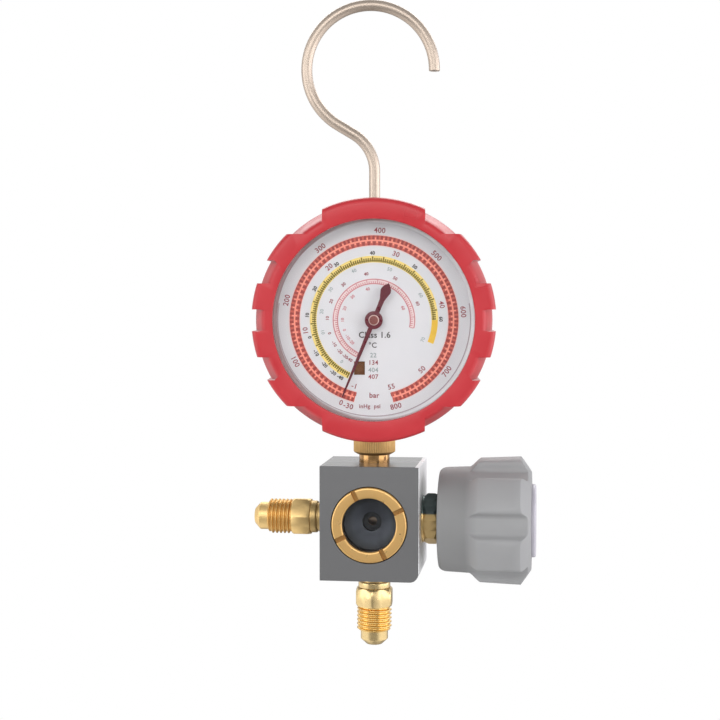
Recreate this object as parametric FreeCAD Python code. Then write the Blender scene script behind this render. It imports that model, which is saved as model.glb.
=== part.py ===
import FreeCAD, Part
import math
import os

# Single-valve refrigerant pressure gauge with a hanging hook, in millimetres.
# +Z is up along the gauge stem, -Y is the front, +X is the side of the valve knob.
# The origin is on the stem axis at the thread shoulder of the bottom flare port.

os.makedirs("parts", exist_ok=True)
Vector = FreeCAD.Vector

# Fits shared by several pieces
thread_clearance = 0.05
seal_clearance = 0.05
running_clearance = 0.05
loose_clearance = 0.3

# How far the cutters for holes reach past a wall, and into the case
cutter_reach = 2.0
cutter_depth = 3.5

# Flare ports: quarter inch flare, 7/16-20 thread
flare_thread_dia = 11.11
flare_thread_length = 7.7
flare_nose_dia = 8.7
flare_nose_length = 2.85
flare_cone_length = 1.75
flare_tip_dia = 4.9
flare_bore_dia = 4.0
port_hex_width = 11.11
port_hex_length = 5.9
port_hex_chamfer = 0.7
port_flange_dia = 10.2
port_flange_length = 2.1
port_neck_dia = 8.8
port_neck_length = 0.5
port_collar_length = 4.4
port_shank_dia = 9.7
port_shank_length = 8.2
port_ring_width = 1.8
port_ring_depth = 1.0
port_ring_place = 2.4
left_port_turn_deg = 36.0
left_port_stand_off = 0.4

# Valve block
block_width = 31.0
block_depth = 29.0
block_height = 35.8
block_corner_radius = 2.9
block_edge = 0.12
port_bore_extra = 0.5
port_passage_dia = 4.0
gauge_passage_dia = 3.2
valve_chamber_dia = 6.8
valve_seat_place = 4.6
bonnet_bore_start = 6.0

# Sight glass in the front of the block
sight_ring_dia = 23.6
sight_ring_bore_dia = 16.7
sight_ring_thickness = 3.1
sight_ring_proud = 0.6
sight_ring_chamfer = 0.4
sight_notch_width = 1.5
sight_notch_depth = 1.3
sight_notch_turn_deg = 26.0
sight_notch_count = 4
sight_lens_dia = 22.8
sight_lens_thickness = 2.6
sight_seal_dia = 22.4
sight_seal_bore_dia = 18.4
sight_seal_thickness = 0.6
sight_recess_clearance = 0.25
sight_cone_depth = 2.6
sight_pocket_dia = 6.0
sight_pocket_depth = 1.8
sight_hole_dia = 2.7
sight_drop = 0.3

# Gauge neck and union collar
neck_dia = 9.7
neck_rise = 3.1
neck_groove_dia = 8.8
neck_groove_length = 0.8
neck_shank_length = 9.0
neck_flange_dia = 11.0
neck_flange_length = 1.6
neck_bore_dia = 2.6
feed_dia = 1.8
collar_dia = 13.3
collar_length = 8.65
collar_lip = 0.65
collar_chamfer = 0.5
collar_foot_width = 1.5
collar_foot_rise = 0.9
stem_thread_dia = 11.1
stem_seal_dia = 8.0
stem_seal_bore_dia = 3.6
stem_seal_thickness = 0.9
gauge_turn_deg = 5.7

# Gauge case, glass and dial, sizes as radii from the dial centre, depths from the stem plane
case_radius = 33.3
case_wall = 0.8
case_lift = 12.0
gauge_rise = case_radius + case_lift
case_back = 11.0
case_front = -13.0
case_rim_radius = 2.0
dial_ledge_width = 1.6
dial_ledge_thickness = 0.8
dial_front = -9.6
dial_thickness = 0.6
dial_radius = case_radius - case_wall - 0.3
dial_hole_dia = 3.4
spacer_bore_radius = case_radius - 3.1
spacer_front_radius = case_radius - 2.3
lens_radius = case_radius - 0.3
lens_thickness = 2.0
gasket_thickness = 0.6
gasket_bore_radius = case_radius - 1.8
bezel_radius = case_radius + 0.7
bezel_wall = 0.6
bezel_back = -10.8
relief_hole_dia = 9.0
relief_height = case_radius * 0.51
relief_head_dia = 12.0
relief_head_thickness = 1.2
case_screw_dia = 3.0
case_screw_head_dia = 5.2
case_screw_head_length = 1.6
case_screw_length = 5.0
case_screw_spread = 4.0

# Rubber boot round the case
boot_lug_radius = case_radius + 4.4
boot_gap_radius = case_radius + 3.57
boot_ring_radius = case_radius + 1.0
boot_window_radius = case_radius - 2.3
boot_front = -17.6
boot_ring_shoulder = -16.9
boot_gap_slope_end = -9.0
boot_back = 13.2
boot_back_bore_radius = case_radius - 7.3
boot_edge_radius = 1.6
boot_inside_clearance = 0.2
boot_stem_hole_dia = 14.2
boot_hook_hole_dia = 4.4
top_lug_half_deg = 24.7
bottom_lug_half_deg = 24.7
side_lugs_deg = ((45.6, 60.8), (72.5, 84.9), (95.1, 107.5), (119.2, 134.4))

# Gauge socket, Bourdon tube and its linkage
tube_radius = case_radius * 0.72
socket_left = tube_radius * 0.54
socket_right = tube_radius * 0.29
socket_top = 6.5 - tube_radius
socket_bottom = 4.3 - case_radius
socket_front = -1.2
socket_gap = 0.1
case_screw_drop = tube_radius - 4.0
tube_thickness = 3.2
tube_width = 8.0
tube_wall = 0.5
tube_corner = 1.1
tube_depth = 3.8
tube_start_deg = 210.0
tube_end_deg = 485.0
tube_buried_deg = 6.0
tip_length = 5.0
tip_thickness = 4.4
tip_width = 8.8
tip_corner = 0.6
tip_pin_dia = 1.2
tail_pin_dia = 1.0
tail_length = tube_radius * 0.25
feed_drop = tube_radius + 0.6
link_thickness = 0.6
link_eye_radius = 1.5
link_bar_width = 1.6
link_front = -4.6
open_pivot_clearance = 0.35

# Movement: pinion, toothed sector and plates
pinion_teeth = 12
sector_ratio = 10
gear_module = tube_radius * 1.4 / (pinion_teeth * sector_ratio)
sector_teeth_made = 15
tooth_thinning = 0.86
pressure_angle_deg = 20.0
pinion_front = -6.4
pinion_length = 2.2
sector_front = -5.8
sector_thickness = 1.0
sector_hub_radius = 2.4
sector_rim_width = 2.4
sector_spoke_deg = 5.0
arbor_dia = 1.4
arbor_front = -12.5
sector_shaft_dia = 1.6
front_plate_front = -8.0
front_plate_thickness = 1.0
back_plate_thickness = 1.0
plate_margin = 3.2
pillar_dia = 3.0
pillar_places = ((-0.354 * tube_radius, -0.062 * tube_radius),
                 (-0.146 * tube_radius, -0.813 * tube_radius),
                 (0.646 * tube_radius, -0.229 * tube_radius))
plate_crown = (0.0, 1.5)
plate_foot = ((-8.5, 3.5 - tube_radius), (3.5, 3.5 - tube_radius))
movement_screw_places = ((-7.5, 4.1 - tube_radius), (2.5, 4.1 - tube_radius))
small_screw_dia = 2.0
small_screw_head_dia = 3.6
small_screw_head_length = 1.1
small_screw_length = 4.5
plate_screw_head_dia = 2.8
plate_screw_head_length = 0.8
plate_screw_length = 2.2
plate_screw_dia = 1.4
hairspring_inner_radius = 1.5
hairspring_pitch = 0.8
hairspring_half_turns = 9
hairspring_thickness = 0.15
hairspring_width = 0.5
hairspring_front = -3.7
collet_bore_dia = 1.4
stud_dia = 1.4
zero_screw_place = (-0.188 * tube_radius, -0.625 * tube_radius)
zero_screw_dia = 1.6
zero_screw_head_dia = 2.6
zero_screw_head_length = 1.0
zero_window_width = 3.4
zero_window_height = 4.2
scale_zero_deg = 202.3
scale_low_turn_deg = -8.3
scale_high_turn_deg = 324.0

# Pointer
pointer_front = -12.3
pointer_thickness = 0.4
pointer_needle_length = dial_radius - 6.0
pointer_needle_width = 1.5
pointer_tip_width = 0.5
pointer_boss_radius = 2.8
pointer_tail_length = 12.3
pointer_tail_width = 1.5
pointer_spade_width = 3.3
pointer_spade_place = 9.6
pointer_bush_dia = 3.4
pointer_bush_length = 1.6
pointer_bush_proud = 0.3

# Hook
hook_wire_dia = 3.5
hook_loop_radius = 20.1
hook_loop_side = -1.3
hook_neck_rise = 45.34
hook_loop_rise = case_radius + hook_neck_rise
hook_end_deg = -1.0
hook_leave_deg = 239.0
hook_bend_radius = 13.5
hook_thread_dia = 3.0
hook_thread_length = 6.4
hook_washer_dia = 7.0
hook_washer_thickness = 0.6
hook_nut_width = 5.5
hook_nut_length = 2.4
hook_foot_rise = 1.4

# Valve bonnet, stem and piston
bonnet_hex_width = 14.6
bonnet_flange_dia = 14.8
bonnet_flange_length = 0.7
bonnet_end = 20.6
bonnet_hex_turn_deg = 9.0
bonnet_hex_chamfer = 0.9
bonnet_shank_dia = 13.0
bonnet_seal_width = 1.8
bonnet_seal_depth = 1.0
bonnet_seal_place = 2.2
bonnet_thread_bore_dia = 5.9
stem_thread_dia_valve = 5.8
stem_shaft_dia = 4.4
stem_thread_start = 4.4
stem_thread_end = 10.2
packing_bore_dia = 8.0
packing_start = 14.6
packing_ring_thickness = 1.5
packing_ring_count = 2
gland_head_dia = 11.0
gland_end = 22.4
gland_slot_width = 1.6
gland_slot_depth = 1.0
piston_dia = 4.9
piston_end = 4.2
piston_socket_dia = 3.2
piston_socket_start = 0.4
stem_nose_start = 0.8
stem_square = 3.4
stem_square_start = 23.3
stem_end = 34.6
seat_disc_dia = 4.4
seat_disc_thickness = 1.3
seat_gap = 0.05
clip_dia = 4.2
clip_thickness = 0.6
clip_place = 2.6

# Knob
knob_start = 20.95
knob_base_radius = 16.5
knob_base_round = 1.6
knob_base_run = 3.0
knob_skirt_radius = 16.8
knob_lobe_start = 30.5
knob_lobe_full = 33.9
knob_lobe_rear_radius = 19.6
knob_lobe_radius = 20.2
knob_lobe_count = 6
knob_turn_deg = -2.0
knob_lobe_width_deg = 35.0
knob_lobe_end = 46.6
knob_face = 49.9
knob_face_radius = 15.6
knob_wall = 2.4
knob_cavity_end = 41.0
knob_hub_radius = 6.4
knob_hub_start = 23.6
knob_rib_thickness = 1.6
knob_rib_start = 26.5
knob_web_front = 36.4
knob_well_radius = 6.0
knob_lobe_fillet = 1.6
insert_radius = 4.4
insert_length = 11.2
cap_radius = 11.5
cap_thickness = 1.4
cap_edge = 0.4
cap_spigot_length = 2.6
cap_spigot_clearance = 0.1
knob_screw_dia = 2.6
knob_screw_head_dia = 5.6
knob_screw_head_length = 2.0
knob_screw_depth = 6.0

# Heights and places that follow from the sizes above
block_bottom = port_hex_length + port_collar_length
block_top = block_bottom + block_height
cross_height = (block_bottom + block_top) / 2.0
sight_height = cross_height - sight_drop
block_front = -block_depth / 2.0
block_right = block_width / 2.0
sight_ring_front = block_front - sight_ring_proud
sight_ring_back = sight_ring_front + sight_ring_thickness
sight_lens_back = sight_ring_back + sight_lens_thickness
sight_ledge = sight_lens_back + sight_seal_thickness
neck_top = block_top + neck_rise
neck_flange_top = neck_top + neck_flange_length
stem_bottom = neck_flange_top + stem_seal_thickness
gauge_height = block_top + gauge_rise
back_plate_front = socket_front - back_plate_thickness
lens_front = case_front - lens_thickness
bezel_front = lens_front - gasket_thickness - bezel_wall


def side(points):
    """A flat face from (x, z) points in the plane through the axis."""
    corners = [Vector(x, 0, z) for x, z in points]
    return Part.Face(Part.makePolygon(corners + corners[:1]))


def turned(profile, axis="Z"):
    """A turned solid from (radius, place along the axis) points."""
    solid = side(profile).revolve(Vector(0, 0, 0), Vector(0, 0, 1), 360)
    if axis == "X":
        solid.rotate(Vector(0, 0, 0), Vector(0, 1, 0), 90)
    if axis == "Y":
        solid.rotate(Vector(0, 0, 0), Vector(1, 0, 0), -90)
    return solid


def rod(radius, start, end, axis="Z"):
    """A plain round bar along one axis."""
    return turned([(0, start), (radius, start), (radius, end), (0, end)], axis)


def tube(outer, inner, start, end, axis="Z"):
    """A plain round ring along one axis."""
    return turned([(inner, start), (outer, start), (outer, end), (inner, end)], axis)


def hex_bar(width, start, end, turn_deg=0.0):
    """A hexagonal bar along Z; its first corner points at turn_deg from +X."""
    corner_radius = width / math.sqrt(3.0)
    corners = []
    for index in range(6):
        angle = math.radians(60.0 * index + turn_deg)
        corners.append(Vector(corner_radius * math.cos(angle), corner_radius * math.sin(angle), start))
    return Part.Face(Part.makePolygon(corners + corners[:1])).extrude(Vector(0, 0, end - start))


def chamfered_hex(width, start, end, chamfer, turn_deg=0.0):
    """A hexagon whose corners are turned away at both ends, as on a machined nut."""
    corner_radius = width / math.sqrt(3.0)
    flat_radius = width / 2.0
    envelope = turned([
        (0, start), (flat_radius, start), (corner_radius, start + chamfer),
        (corner_radius, end - chamfer), (flat_radius, end), (0, end)])
    return hex_bar(width, start, end, turn_deg).common(envelope)


def lay_along_x(solid, direction=1):
    """Turn a solid built along Z so that it points along +X or -X at the cross height."""
    solid.rotate(Vector(0, 0, 0), Vector(0, 1, 0), 90 * direction)
    solid.translate(Vector(0, 0, cross_height))
    return solid


def clock_point(radius, angle_deg):
    """A point on the dial: the angle runs clockwise from the top, seen from the front."""
    angle = math.radians(angle_deg)
    return (radius * math.sin(angle), radius * math.cos(angle))


def plate(points, front, thickness):
    """A flat plate parallel to the dial, from (x, z) points."""
    corners = [Vector(x, front, z) for x, z in points]
    return Part.Face(Part.makePolygon(corners + corners[:1])).extrude(Vector(0, thickness, 0))


def pin_at(place, radius, front, back):
    """A round pin parallel to the gauge axis at an (x, z) place on the dial."""
    solid = rod(radius, front, back, "Y")
    solid.translate(Vector(place[0], 0, place[1]))
    return solid


def bar_between(first, second, width, front, thickness):
    """A straight flat bar with square ends between two (x, z) places."""
    dx = second[0] - first[0]
    dz = second[1] - first[1]
    length = math.hypot(dx, dz)
    across_x = -dz / length * width / 2.0
    across_z = dx / length * width / 2.0
    return plate([
        (first[0] + across_x, first[1] + across_z), (second[0] + across_x, second[1] + across_z),
        (second[0] - across_x, second[1] - across_z), (first[0] - across_x, first[1] - across_z),
    ], front, thickness)


def rotate_point(point, pivot, clockwise_deg):
    """Turn an (x, z) point about a pivot, clockwise seen from the front."""
    angle = math.radians(clockwise_deg)
    dx = point[0] - pivot[0]
    dz = point[1] - pivot[1]
    return (pivot[0] + dx * math.cos(angle) + dz * math.sin(angle),
            pivot[1] - dx * math.sin(angle) + dz * math.cos(angle))


def on_gauge(solid):
    """Move a piece built round the dial centre to the gauge's height and turn."""
    solid.rotate(Vector(0, 0, 0), Vector(0, 0, 1), gauge_turn_deg)
    solid.translate(Vector(0, 0, gauge_height))
    return solid


def fused(solids):
    """Join solids into one."""
    whole = solids[0]
    for other in solids[1:]:
        whole = whole.fuse(other)
    return whole.removeSplitter()


def save(name, shape):
    """Write one piece, or one group of like pieces."""
    shape.exportStep("parts/" + name + ".step")


# Flare ports


def flare_port(hex_turn_deg):
    """A turned brass nipple along +Z from the block face, with its flare end outwards."""
    neck_start = port_collar_length - port_flange_length
    shank_radius = port_shank_dia / 2.0
    hex_start = port_collar_length
    hex_end = hex_start + port_hex_length
    thread_end = hex_end + flare_thread_length
    nose_end = thread_end + flare_nose_length
    tip = nose_end + flare_cone_length
    ring_end = -port_ring_place
    ring_start = ring_end - port_ring_width
    lathe = turned([
        (0, -port_shank_length), (shank_radius, -port_shank_length), (shank_radius, ring_start),
        (shank_radius - port_ring_depth, ring_start), (shank_radius - port_ring_depth, ring_end),
        (shank_radius, ring_end), (shank_radius, neck_start - port_neck_length),
        (port_neck_dia / 2.0, neck_start - port_neck_length), (port_neck_dia / 2.0, neck_start),
        (port_flange_dia / 2.0, neck_start), (port_flange_dia / 2.0, hex_start),
        (port_neck_dia / 2.0, hex_start), (port_neck_dia / 2.0, hex_end),
        (flare_thread_dia / 2.0, hex_end), (flare_thread_dia / 2.0, thread_end),
        (flare_nose_dia / 2.0, thread_end), (flare_nose_dia / 2.0, nose_end),
        (flare_tip_dia / 2.0, tip), (0, tip)])
    hexagon = chamfered_hex(port_hex_width, hex_start, hex_end, port_hex_chamfer, hex_turn_deg)
    bore = rod(flare_bore_dia / 2.0, -port_shank_length - 1, tip + 1)
    return fused([lathe, hexagon]).cut(bore)


def ring_seal(shaft_dia, groove_depth, groove_width, middle):
    """A rubber ring that fills its groove up to the bore round it, along Z."""
    outer = shaft_dia / 2.0 + thread_clearance - seal_clearance / 2.0
    inner = shaft_dia / 2.0 - groove_depth + seal_clearance / 2.0
    half = min(outer - inner, groove_width - seal_clearance) / 2.0
    corner = half * 0.42
    centre = (outer + inner) / 2.0
    return turned([
        (centre + corner, middle - half), (centre + half, middle - corner),
        (centre + half, middle + corner), (centre + corner, middle + half),
        (centre - corner, middle + half), (centre - half, middle + corner),
        (centre - half, middle - corner), (centre - corner, middle - half)])


def port_seal():
    """The ring seal in the shank of a flare port, in the port's own frame."""
    middle = -port_ring_place - port_ring_width / 2.0
    return ring_seal(port_shank_dia, port_ring_depth, port_ring_width, middle)


def hang_down(solid):
    """Turn a port built upwards so that it hangs from the bottom of the block."""
    solid.rotate(Vector(0, 0, 0), Vector(1, 0, 0), 180)
    solid.translate(Vector(0, 0, block_bottom))
    return solid


def stand_left(solid):
    """Turn a port built upwards so that it leaves the left side of the block."""
    solid.translate(Vector(0, 0, block_right + left_port_stand_off))
    return lay_along_x(solid, -1)


save("bottom_port", hang_down(flare_port(90.0)))
save("left_port", stand_left(flare_port(left_port_turn_deg)))
save("port_seals", Part.makeCompound([hang_down(port_seal()), stand_left(port_seal())]))


# Valve block


def valve_block():
    """The drilled aluminium block that carries the ports, the valve, the glass and the gauge."""
    block = Part.makeBox(block_width, block_depth, block_height,
                         Vector(-block_right, block_front, block_bottom))
    corner = [edge for edge in block.Edges
              if edge.CenterOfMass.x > block_right - 0.01 and edge.CenterOfMass.z < block_bottom + 0.01]
    block = block.makeFillet(block_corner_radius, corner)
    sharp = [edge for edge in block.Edges if edge.Length > block_corner_radius * 2.0]
    block = block.makeChamfer(block_edge, sharp)
    bore_radius = port_shank_dia / 2.0 + thread_clearance
    bore_length = port_shank_length + port_bore_extra
    chamber_radius = valve_chamber_dia / 2.0
    bottom_bore = rod(bore_radius, block_bottom - 1, block_bottom + bore_length)
    bottom_passage = rod(port_passage_dia / 2.0, block_bottom, cross_height)
    top_bore = rod(neck_dia / 2.0 + thread_clearance, block_top - neck_shank_length - port_bore_extra,
                   block_top + 1)
    top_passage = rod(gauge_passage_dia / 2.0, cross_height, block_top)
    along_x = fused([
        rod(bore_radius, -block_right - 1, -block_right + bore_length, "X"),
        rod(port_passage_dia / 2.0, -block_right, 0, "X"),
        rod(chamber_radius, -valve_seat_place, bonnet_bore_start + 1, "X"),
        rod(bonnet_shank_dia / 2.0 + thread_clearance, bonnet_bore_start, block_right + 1, "X")])
    along_x.translate(Vector(0, 0, cross_height))
    recess_radius = sight_ring_dia / 2.0 + sight_recess_clearance
    pocket_front = sight_ledge + sight_cone_depth
    cone_radius = sight_seal_bore_dia / 2.0 - 0.8
    pocket_back = pocket_front + sight_pocket_depth
    sight = turned([
        (0, block_front - 1), (recess_radius, block_front - 1), (recess_radius, sight_ledge),
        (cone_radius, sight_ledge), (sight_pocket_dia / 2.0, pocket_front),
        (sight_pocket_dia / 2.0, pocket_back), (sight_hole_dia / 2.0, pocket_back),
        (sight_hole_dia / 2.0, 0), (0, 0)], "Y")
    sight.translate(Vector(0, 0, sight_height))
    for hole in (bottom_bore, bottom_passage, top_bore, top_passage, along_x, sight):
        block = block.cut(hole)
    return block


def sight_ring():
    """The brass spanner ring that holds the sight glass, with four notches in its face."""
    outer = sight_ring_dia / 2.0
    inner = sight_ring_bore_dia / 2.0
    ring = turned([
        (inner + sight_ring_chamfer, sight_ring_front), (outer - sight_ring_chamfer, sight_ring_front),
        (outer, sight_ring_front + sight_ring_chamfer), (outer, sight_ring_back),
        (inner, sight_ring_back), (inner, sight_ring_front + sight_ring_chamfer)], "Y")
    for index in range(sight_notch_count):
        notch = Part.makeBox(sight_notch_width, sight_notch_depth + 1, outer,
                             Vector(-sight_notch_width / 2.0, sight_ring_front - 1, inner - 1))
        turn = 360.0 / sight_notch_count * index - sight_notch_turn_deg
        notch.rotate(Vector(0, 0, 0), Vector(0, 1, 0), turn)
        ring = ring.cut(notch)
    ring.translate(Vector(0, 0, sight_height))
    return ring


def at_sight(solid):
    """Lift a piece built round the Y axis to the height of the sight glass."""
    solid.translate(Vector(0, 0, sight_height))
    return solid


save("valve_block", valve_block())
save("sight_ring", sight_ring())
save("sight_lens", at_sight(rod(sight_lens_dia / 2.0, sight_ring_back, sight_lens_back, "Y")))
save("sight_seal", at_sight(tube(sight_seal_dia / 2.0, sight_seal_bore_dia / 2.0,
                                 sight_lens_back, sight_ledge, "Y")))


# Gauge neck


def neck_adapter():
    """The turned brass neck that screws into the block and carries the union collar."""
    radius = neck_dia / 2.0
    body = turned([
        (0, block_top - neck_shank_length), (radius, block_top - neck_shank_length),
        (radius, block_top), (neck_groove_dia / 2.0, block_top),
        (neck_groove_dia / 2.0, block_top + neck_groove_length), (radius, block_top + neck_groove_length),
        (radius, neck_top), (neck_flange_dia / 2.0, neck_top),
        (neck_flange_dia / 2.0, neck_flange_top), (0, neck_flange_top)])
    return body.cut(rod(neck_bore_dia / 2.0, block_top - neck_shank_length - 1, neck_flange_top + 1))


def knurled_collar():
    """The union collar that draws the gauge stem down on the neck at any turn of the dial."""
    outer = collar_dia / 2.0
    lip_radius = neck_dia / 2.0 + thread_clearance * 2.0
    inner = stem_thread_dia / 2.0 + thread_clearance
    bottom = neck_top - collar_lip
    top = bottom + collar_length
    lip_top = neck_top - thread_clearance
    return turned([
        (lip_radius, bottom), (outer - collar_foot_width, bottom), (outer, bottom + collar_foot_rise),
        (outer, top - collar_chamfer), (outer - collar_chamfer, top), (inner, top),
        (inner, lip_top), (lip_radius, lip_top)])


save("neck_adapter", neck_adapter())
save("knurled_collar", knurled_collar())
save("stem_seal", tube(stem_seal_dia / 2.0, stem_seal_bore_dia / 2.0, neck_flange_top, stem_bottom))


# Gauge case, glass, dial and rubber boot


def stem_hole(diameter):
    """A cutter for the hole that the gauge stem passes through, below the dial."""
    return rod(diameter / 2.0, -boot_lug_radius - cutter_reach, -case_radius + cutter_depth)


def hook_hole(diameter):
    """A cutter for the hole that the hook passes through, above the dial."""
    return rod(diameter / 2.0, case_radius - cutter_depth, boot_lug_radius + cutter_reach)


def case_screw_places():
    """The two screws that hold the socket, seen from the front."""
    middle = (socket_right - socket_left) / 2.0
    return [(middle + offset, -case_screw_drop) for offset in (-case_screw_spread, case_screw_spread)]


def gauge_case():
    """The drawn steel cup with a rolled ledge for the dial."""
    inner = case_radius - case_wall
    ledge_back = dial_front + dial_thickness + dial_ledge_thickness
    ledge = inner - dial_ledge_width
    cup = turned([
        (0, case_back), (case_radius - case_rim_radius, case_back),
        (case_radius, case_back - case_rim_radius), (case_radius, case_front),
        (inner, case_front), (inner, dial_front + dial_thickness),
        (ledge, dial_front + dial_thickness), (ledge, ledge_back), (inner, ledge_back + case_wall),
        (inner, case_back - case_rim_radius), (inner - case_rim_radius + case_wall, case_back - case_wall),
        (0, case_back - case_wall)], "Y")
    cup = cup.cut(stem_hole(stem_thread_dia + loose_clearance))
    cup = cup.cut(hook_hole(hook_thread_dia + 2.0 * loose_clearance))
    cup = cup.cut(pin_at((0, relief_height), relief_hole_dia / 2.0, case_back - 2, case_back + 1))
    for place in case_screw_places():
        cup = cup.cut(pin_at(place, case_screw_dia / 2.0 + seal_clearance, case_back - 2, case_back + 1))
    return cup


def bezel_ring():
    """The polished ring that is crimped over the mouth of the case."""
    skirt = bezel_radius - bezel_wall
    lip = bezel_front + bezel_wall
    return turned([
        (spacer_front_radius, bezel_front), (bezel_radius - bezel_wall, bezel_front),
        (bezel_radius, bezel_front + bezel_wall), (bezel_radius, bezel_back), (skirt, bezel_back),
        (skirt, lip), (spacer_front_radius, lip)], "Y")


def spacer_ring():
    """The bevelled metal ring between the dial's edge and the lens."""
    outer = case_radius - case_wall - seal_clearance
    return turned([
        (spacer_front_radius, case_front), (outer, case_front), (outer, dial_front),
        (spacer_bore_radius, dial_front)], "Y")


def relief_plug():
    """The rubber blow-out plug in the back of the case."""
    plug = turned([
        (0, case_back - case_wall - relief_head_thickness),
        (relief_hole_dia / 2.0 + 0.8, case_back - case_wall - relief_head_thickness),
        (relief_hole_dia / 2.0 + 0.8, case_back - case_wall - seal_clearance),
        (relief_hole_dia / 2.0 - seal_clearance, case_back - case_wall - seal_clearance),
        (relief_hole_dia / 2.0 - seal_clearance, case_back + seal_clearance),
        (relief_head_dia / 2.0, case_back + seal_clearance),
        (relief_head_dia / 2.0 - 0.5, case_back + relief_head_thickness),
        (0, case_back + relief_head_thickness)], "Y")
    plug.translate(Vector(0, 0, relief_height))
    return plug


def screw_from(place, head_dia, head_length, shank_dia, shank_length, head_face, inwards):
    """A slotted screw parallel to the gauge axis; inwards is +1 towards the back, -1 to the front."""
    head = pin_at(place, head_dia / 2.0, *sorted((head_face, head_face - inwards * head_length)))
    shank = pin_at(place, shank_dia / 2.0, *sorted((head_face, head_face + inwards * shank_length)))
    slot_bottom = head_face - inwards * head_length * 0.5
    slot_top = head_face - inwards * head_length * 1.5
    low, high = sorted((slot_bottom, slot_top))
    slot = Part.makeBox(head_dia * 1.2, high - low, head_dia * 0.2,
                        Vector(place[0] - head_dia * 0.6, low, place[1] - head_dia * 0.1))
    return fused([head, shank]).cut(slot)


def lug_slabs():
    """Slabs that cut the lugs out of the lugged profile: their end faces lie square to the dial."""
    reach = boot_lug_radius + 1.0
    depth = boot_back - boot_front + 2.0
    slabs = []
    for half_deg, upwards in ((top_lug_half_deg, 1), (bottom_lug_half_deg, -1)):
        half_width = clock_point(boot_lug_radius, half_deg)[0]
        bottom = 0.0 if upwards > 0 else -reach
        slabs.append(Part.makeBox(2 * half_width, depth, reach,
                                  Vector(-half_width, boot_front - 1, bottom)))
    for start_deg, end_deg in side_lugs_deg:
        top = clock_point(boot_lug_radius, start_deg)[1]
        bottom = clock_point(boot_lug_radius, end_deg)[1]
        inner = clock_point(boot_window_radius, start_deg)[0] * 0.6
        for left in (inner, -reach):
            slabs.append(Part.makeBox(reach - inner, depth, top - bottom,
                                      Vector(left, boot_front - 1, bottom)))
    return slabs


def boot_profile(side_radius, ring_radius, slope_end):
    """The boot's section: window lip, outer side, back lip and the pocket for the case."""
    pocket = bezel_radius + boot_inside_clearance
    waist = case_radius + boot_inside_clearance
    lip = bezel_front - boot_inside_clearance
    pocket_back = case_back + boot_inside_clearance
    edge = boot_edge_radius
    return [
        (boot_window_radius, boot_front), (ring_radius - edge, boot_front),
        (ring_radius, boot_ring_shoulder), (side_radius, slope_end), (side_radius, boot_back - 2 * edge),
        (side_radius - edge, boot_back - edge * 0.4), (side_radius - 2 * edge, boot_back),
        (boot_back_bore_radius, boot_back), (boot_back_bore_radius, pocket_back), (waist, pocket_back),
        (waist, bezel_back + boot_inside_clearance), (pocket, bezel_back + boot_inside_clearance),
        (pocket, lip), (boot_window_radius, lip)]


def rubber_boot():
    """The moulded boot: a stepped band with ten lugs standing out of it."""
    band = turned(boot_profile(boot_gap_radius, boot_ring_radius, boot_gap_slope_end), "Y")
    lug_front = boot_front + boot_edge_radius
    lugged = turned(boot_profile(boot_lug_radius, boot_lug_radius - 0.5, lug_front + 1.0), "Y")
    lugs = lugged.common(fused(lug_slabs()))
    boot = fused([band, lugs])
    boot = boot.cut(stem_hole(boot_stem_hole_dia))
    return boot.cut(hook_hole(boot_hook_hole_dia))


def dial_plate():
    """The round dial with its centre hole and the window over the zero screw."""
    disc = rod(dial_radius, dial_front, dial_front + dial_thickness, "Y")
    disc = disc.cut(rod(dial_hole_dia / 2.0, dial_front - 1, dial_front + 2, "Y"))
    window = Part.makeBox(zero_window_width, 3, zero_window_height,
                          Vector(zero_screw_place[0] - zero_window_width / 2.0, dial_front - 1,
                                 zero_screw_place[1] - zero_window_height / 2.0))
    return disc.cut(window)


save("gauge_case", on_gauge(gauge_case()))
save("bezel_ring", on_gauge(bezel_ring()))
save("spacer_ring", on_gauge(spacer_ring()))
save("lens", on_gauge(rod(lens_radius, lens_front, case_front, "Y")))
save("lens_gasket", on_gauge(tube(lens_radius, gasket_bore_radius,
                                  lens_front - gasket_thickness, lens_front, "Y")))
save("dial", on_gauge(dial_plate()))
save("rubber_boot", on_gauge(rubber_boot()))
save("relief_plug", on_gauge(relief_plug()))
save("case_screws", on_gauge(Part.makeCompound([
    screw_from(place, case_screw_head_dia, case_screw_head_length, case_screw_dia,
               case_screw_length, case_back, -1) for place in case_screw_places()])))


# Bourdon tube: the free end turns about the pole of its bending, worked out for even bending

sweep = math.radians(tube_end_deg - tube_start_deg)
bend_along = math.sin(sweep) - sweep * math.cos(sweep)
bend_across = 1.0 - math.cos(sweep) - sweep * math.sin(sweep)
start_angle = math.radians(tube_start_deg)
free_move_x = bend_along * math.cos(start_angle) - bend_across * math.sin(start_angle)
free_move_z = -bend_along * math.sin(start_angle) - bend_across * math.cos(start_angle)
bend_turn = sweep / tube_radius
tube_end = clock_point(tube_radius, tube_end_deg)
bend_pole = (tube_end[0] - free_move_z / bend_turn, tube_end[1] + free_move_x / bend_turn)
tip_pin_deg = tube_end_deg + math.degrees(tip_length / 2.0 / tube_radius)
tip_pin_rest = clock_point(tube_radius, tip_pin_deg)

# Linkage: worked out at half scale, where the link and the sector's tail stand square

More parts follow.
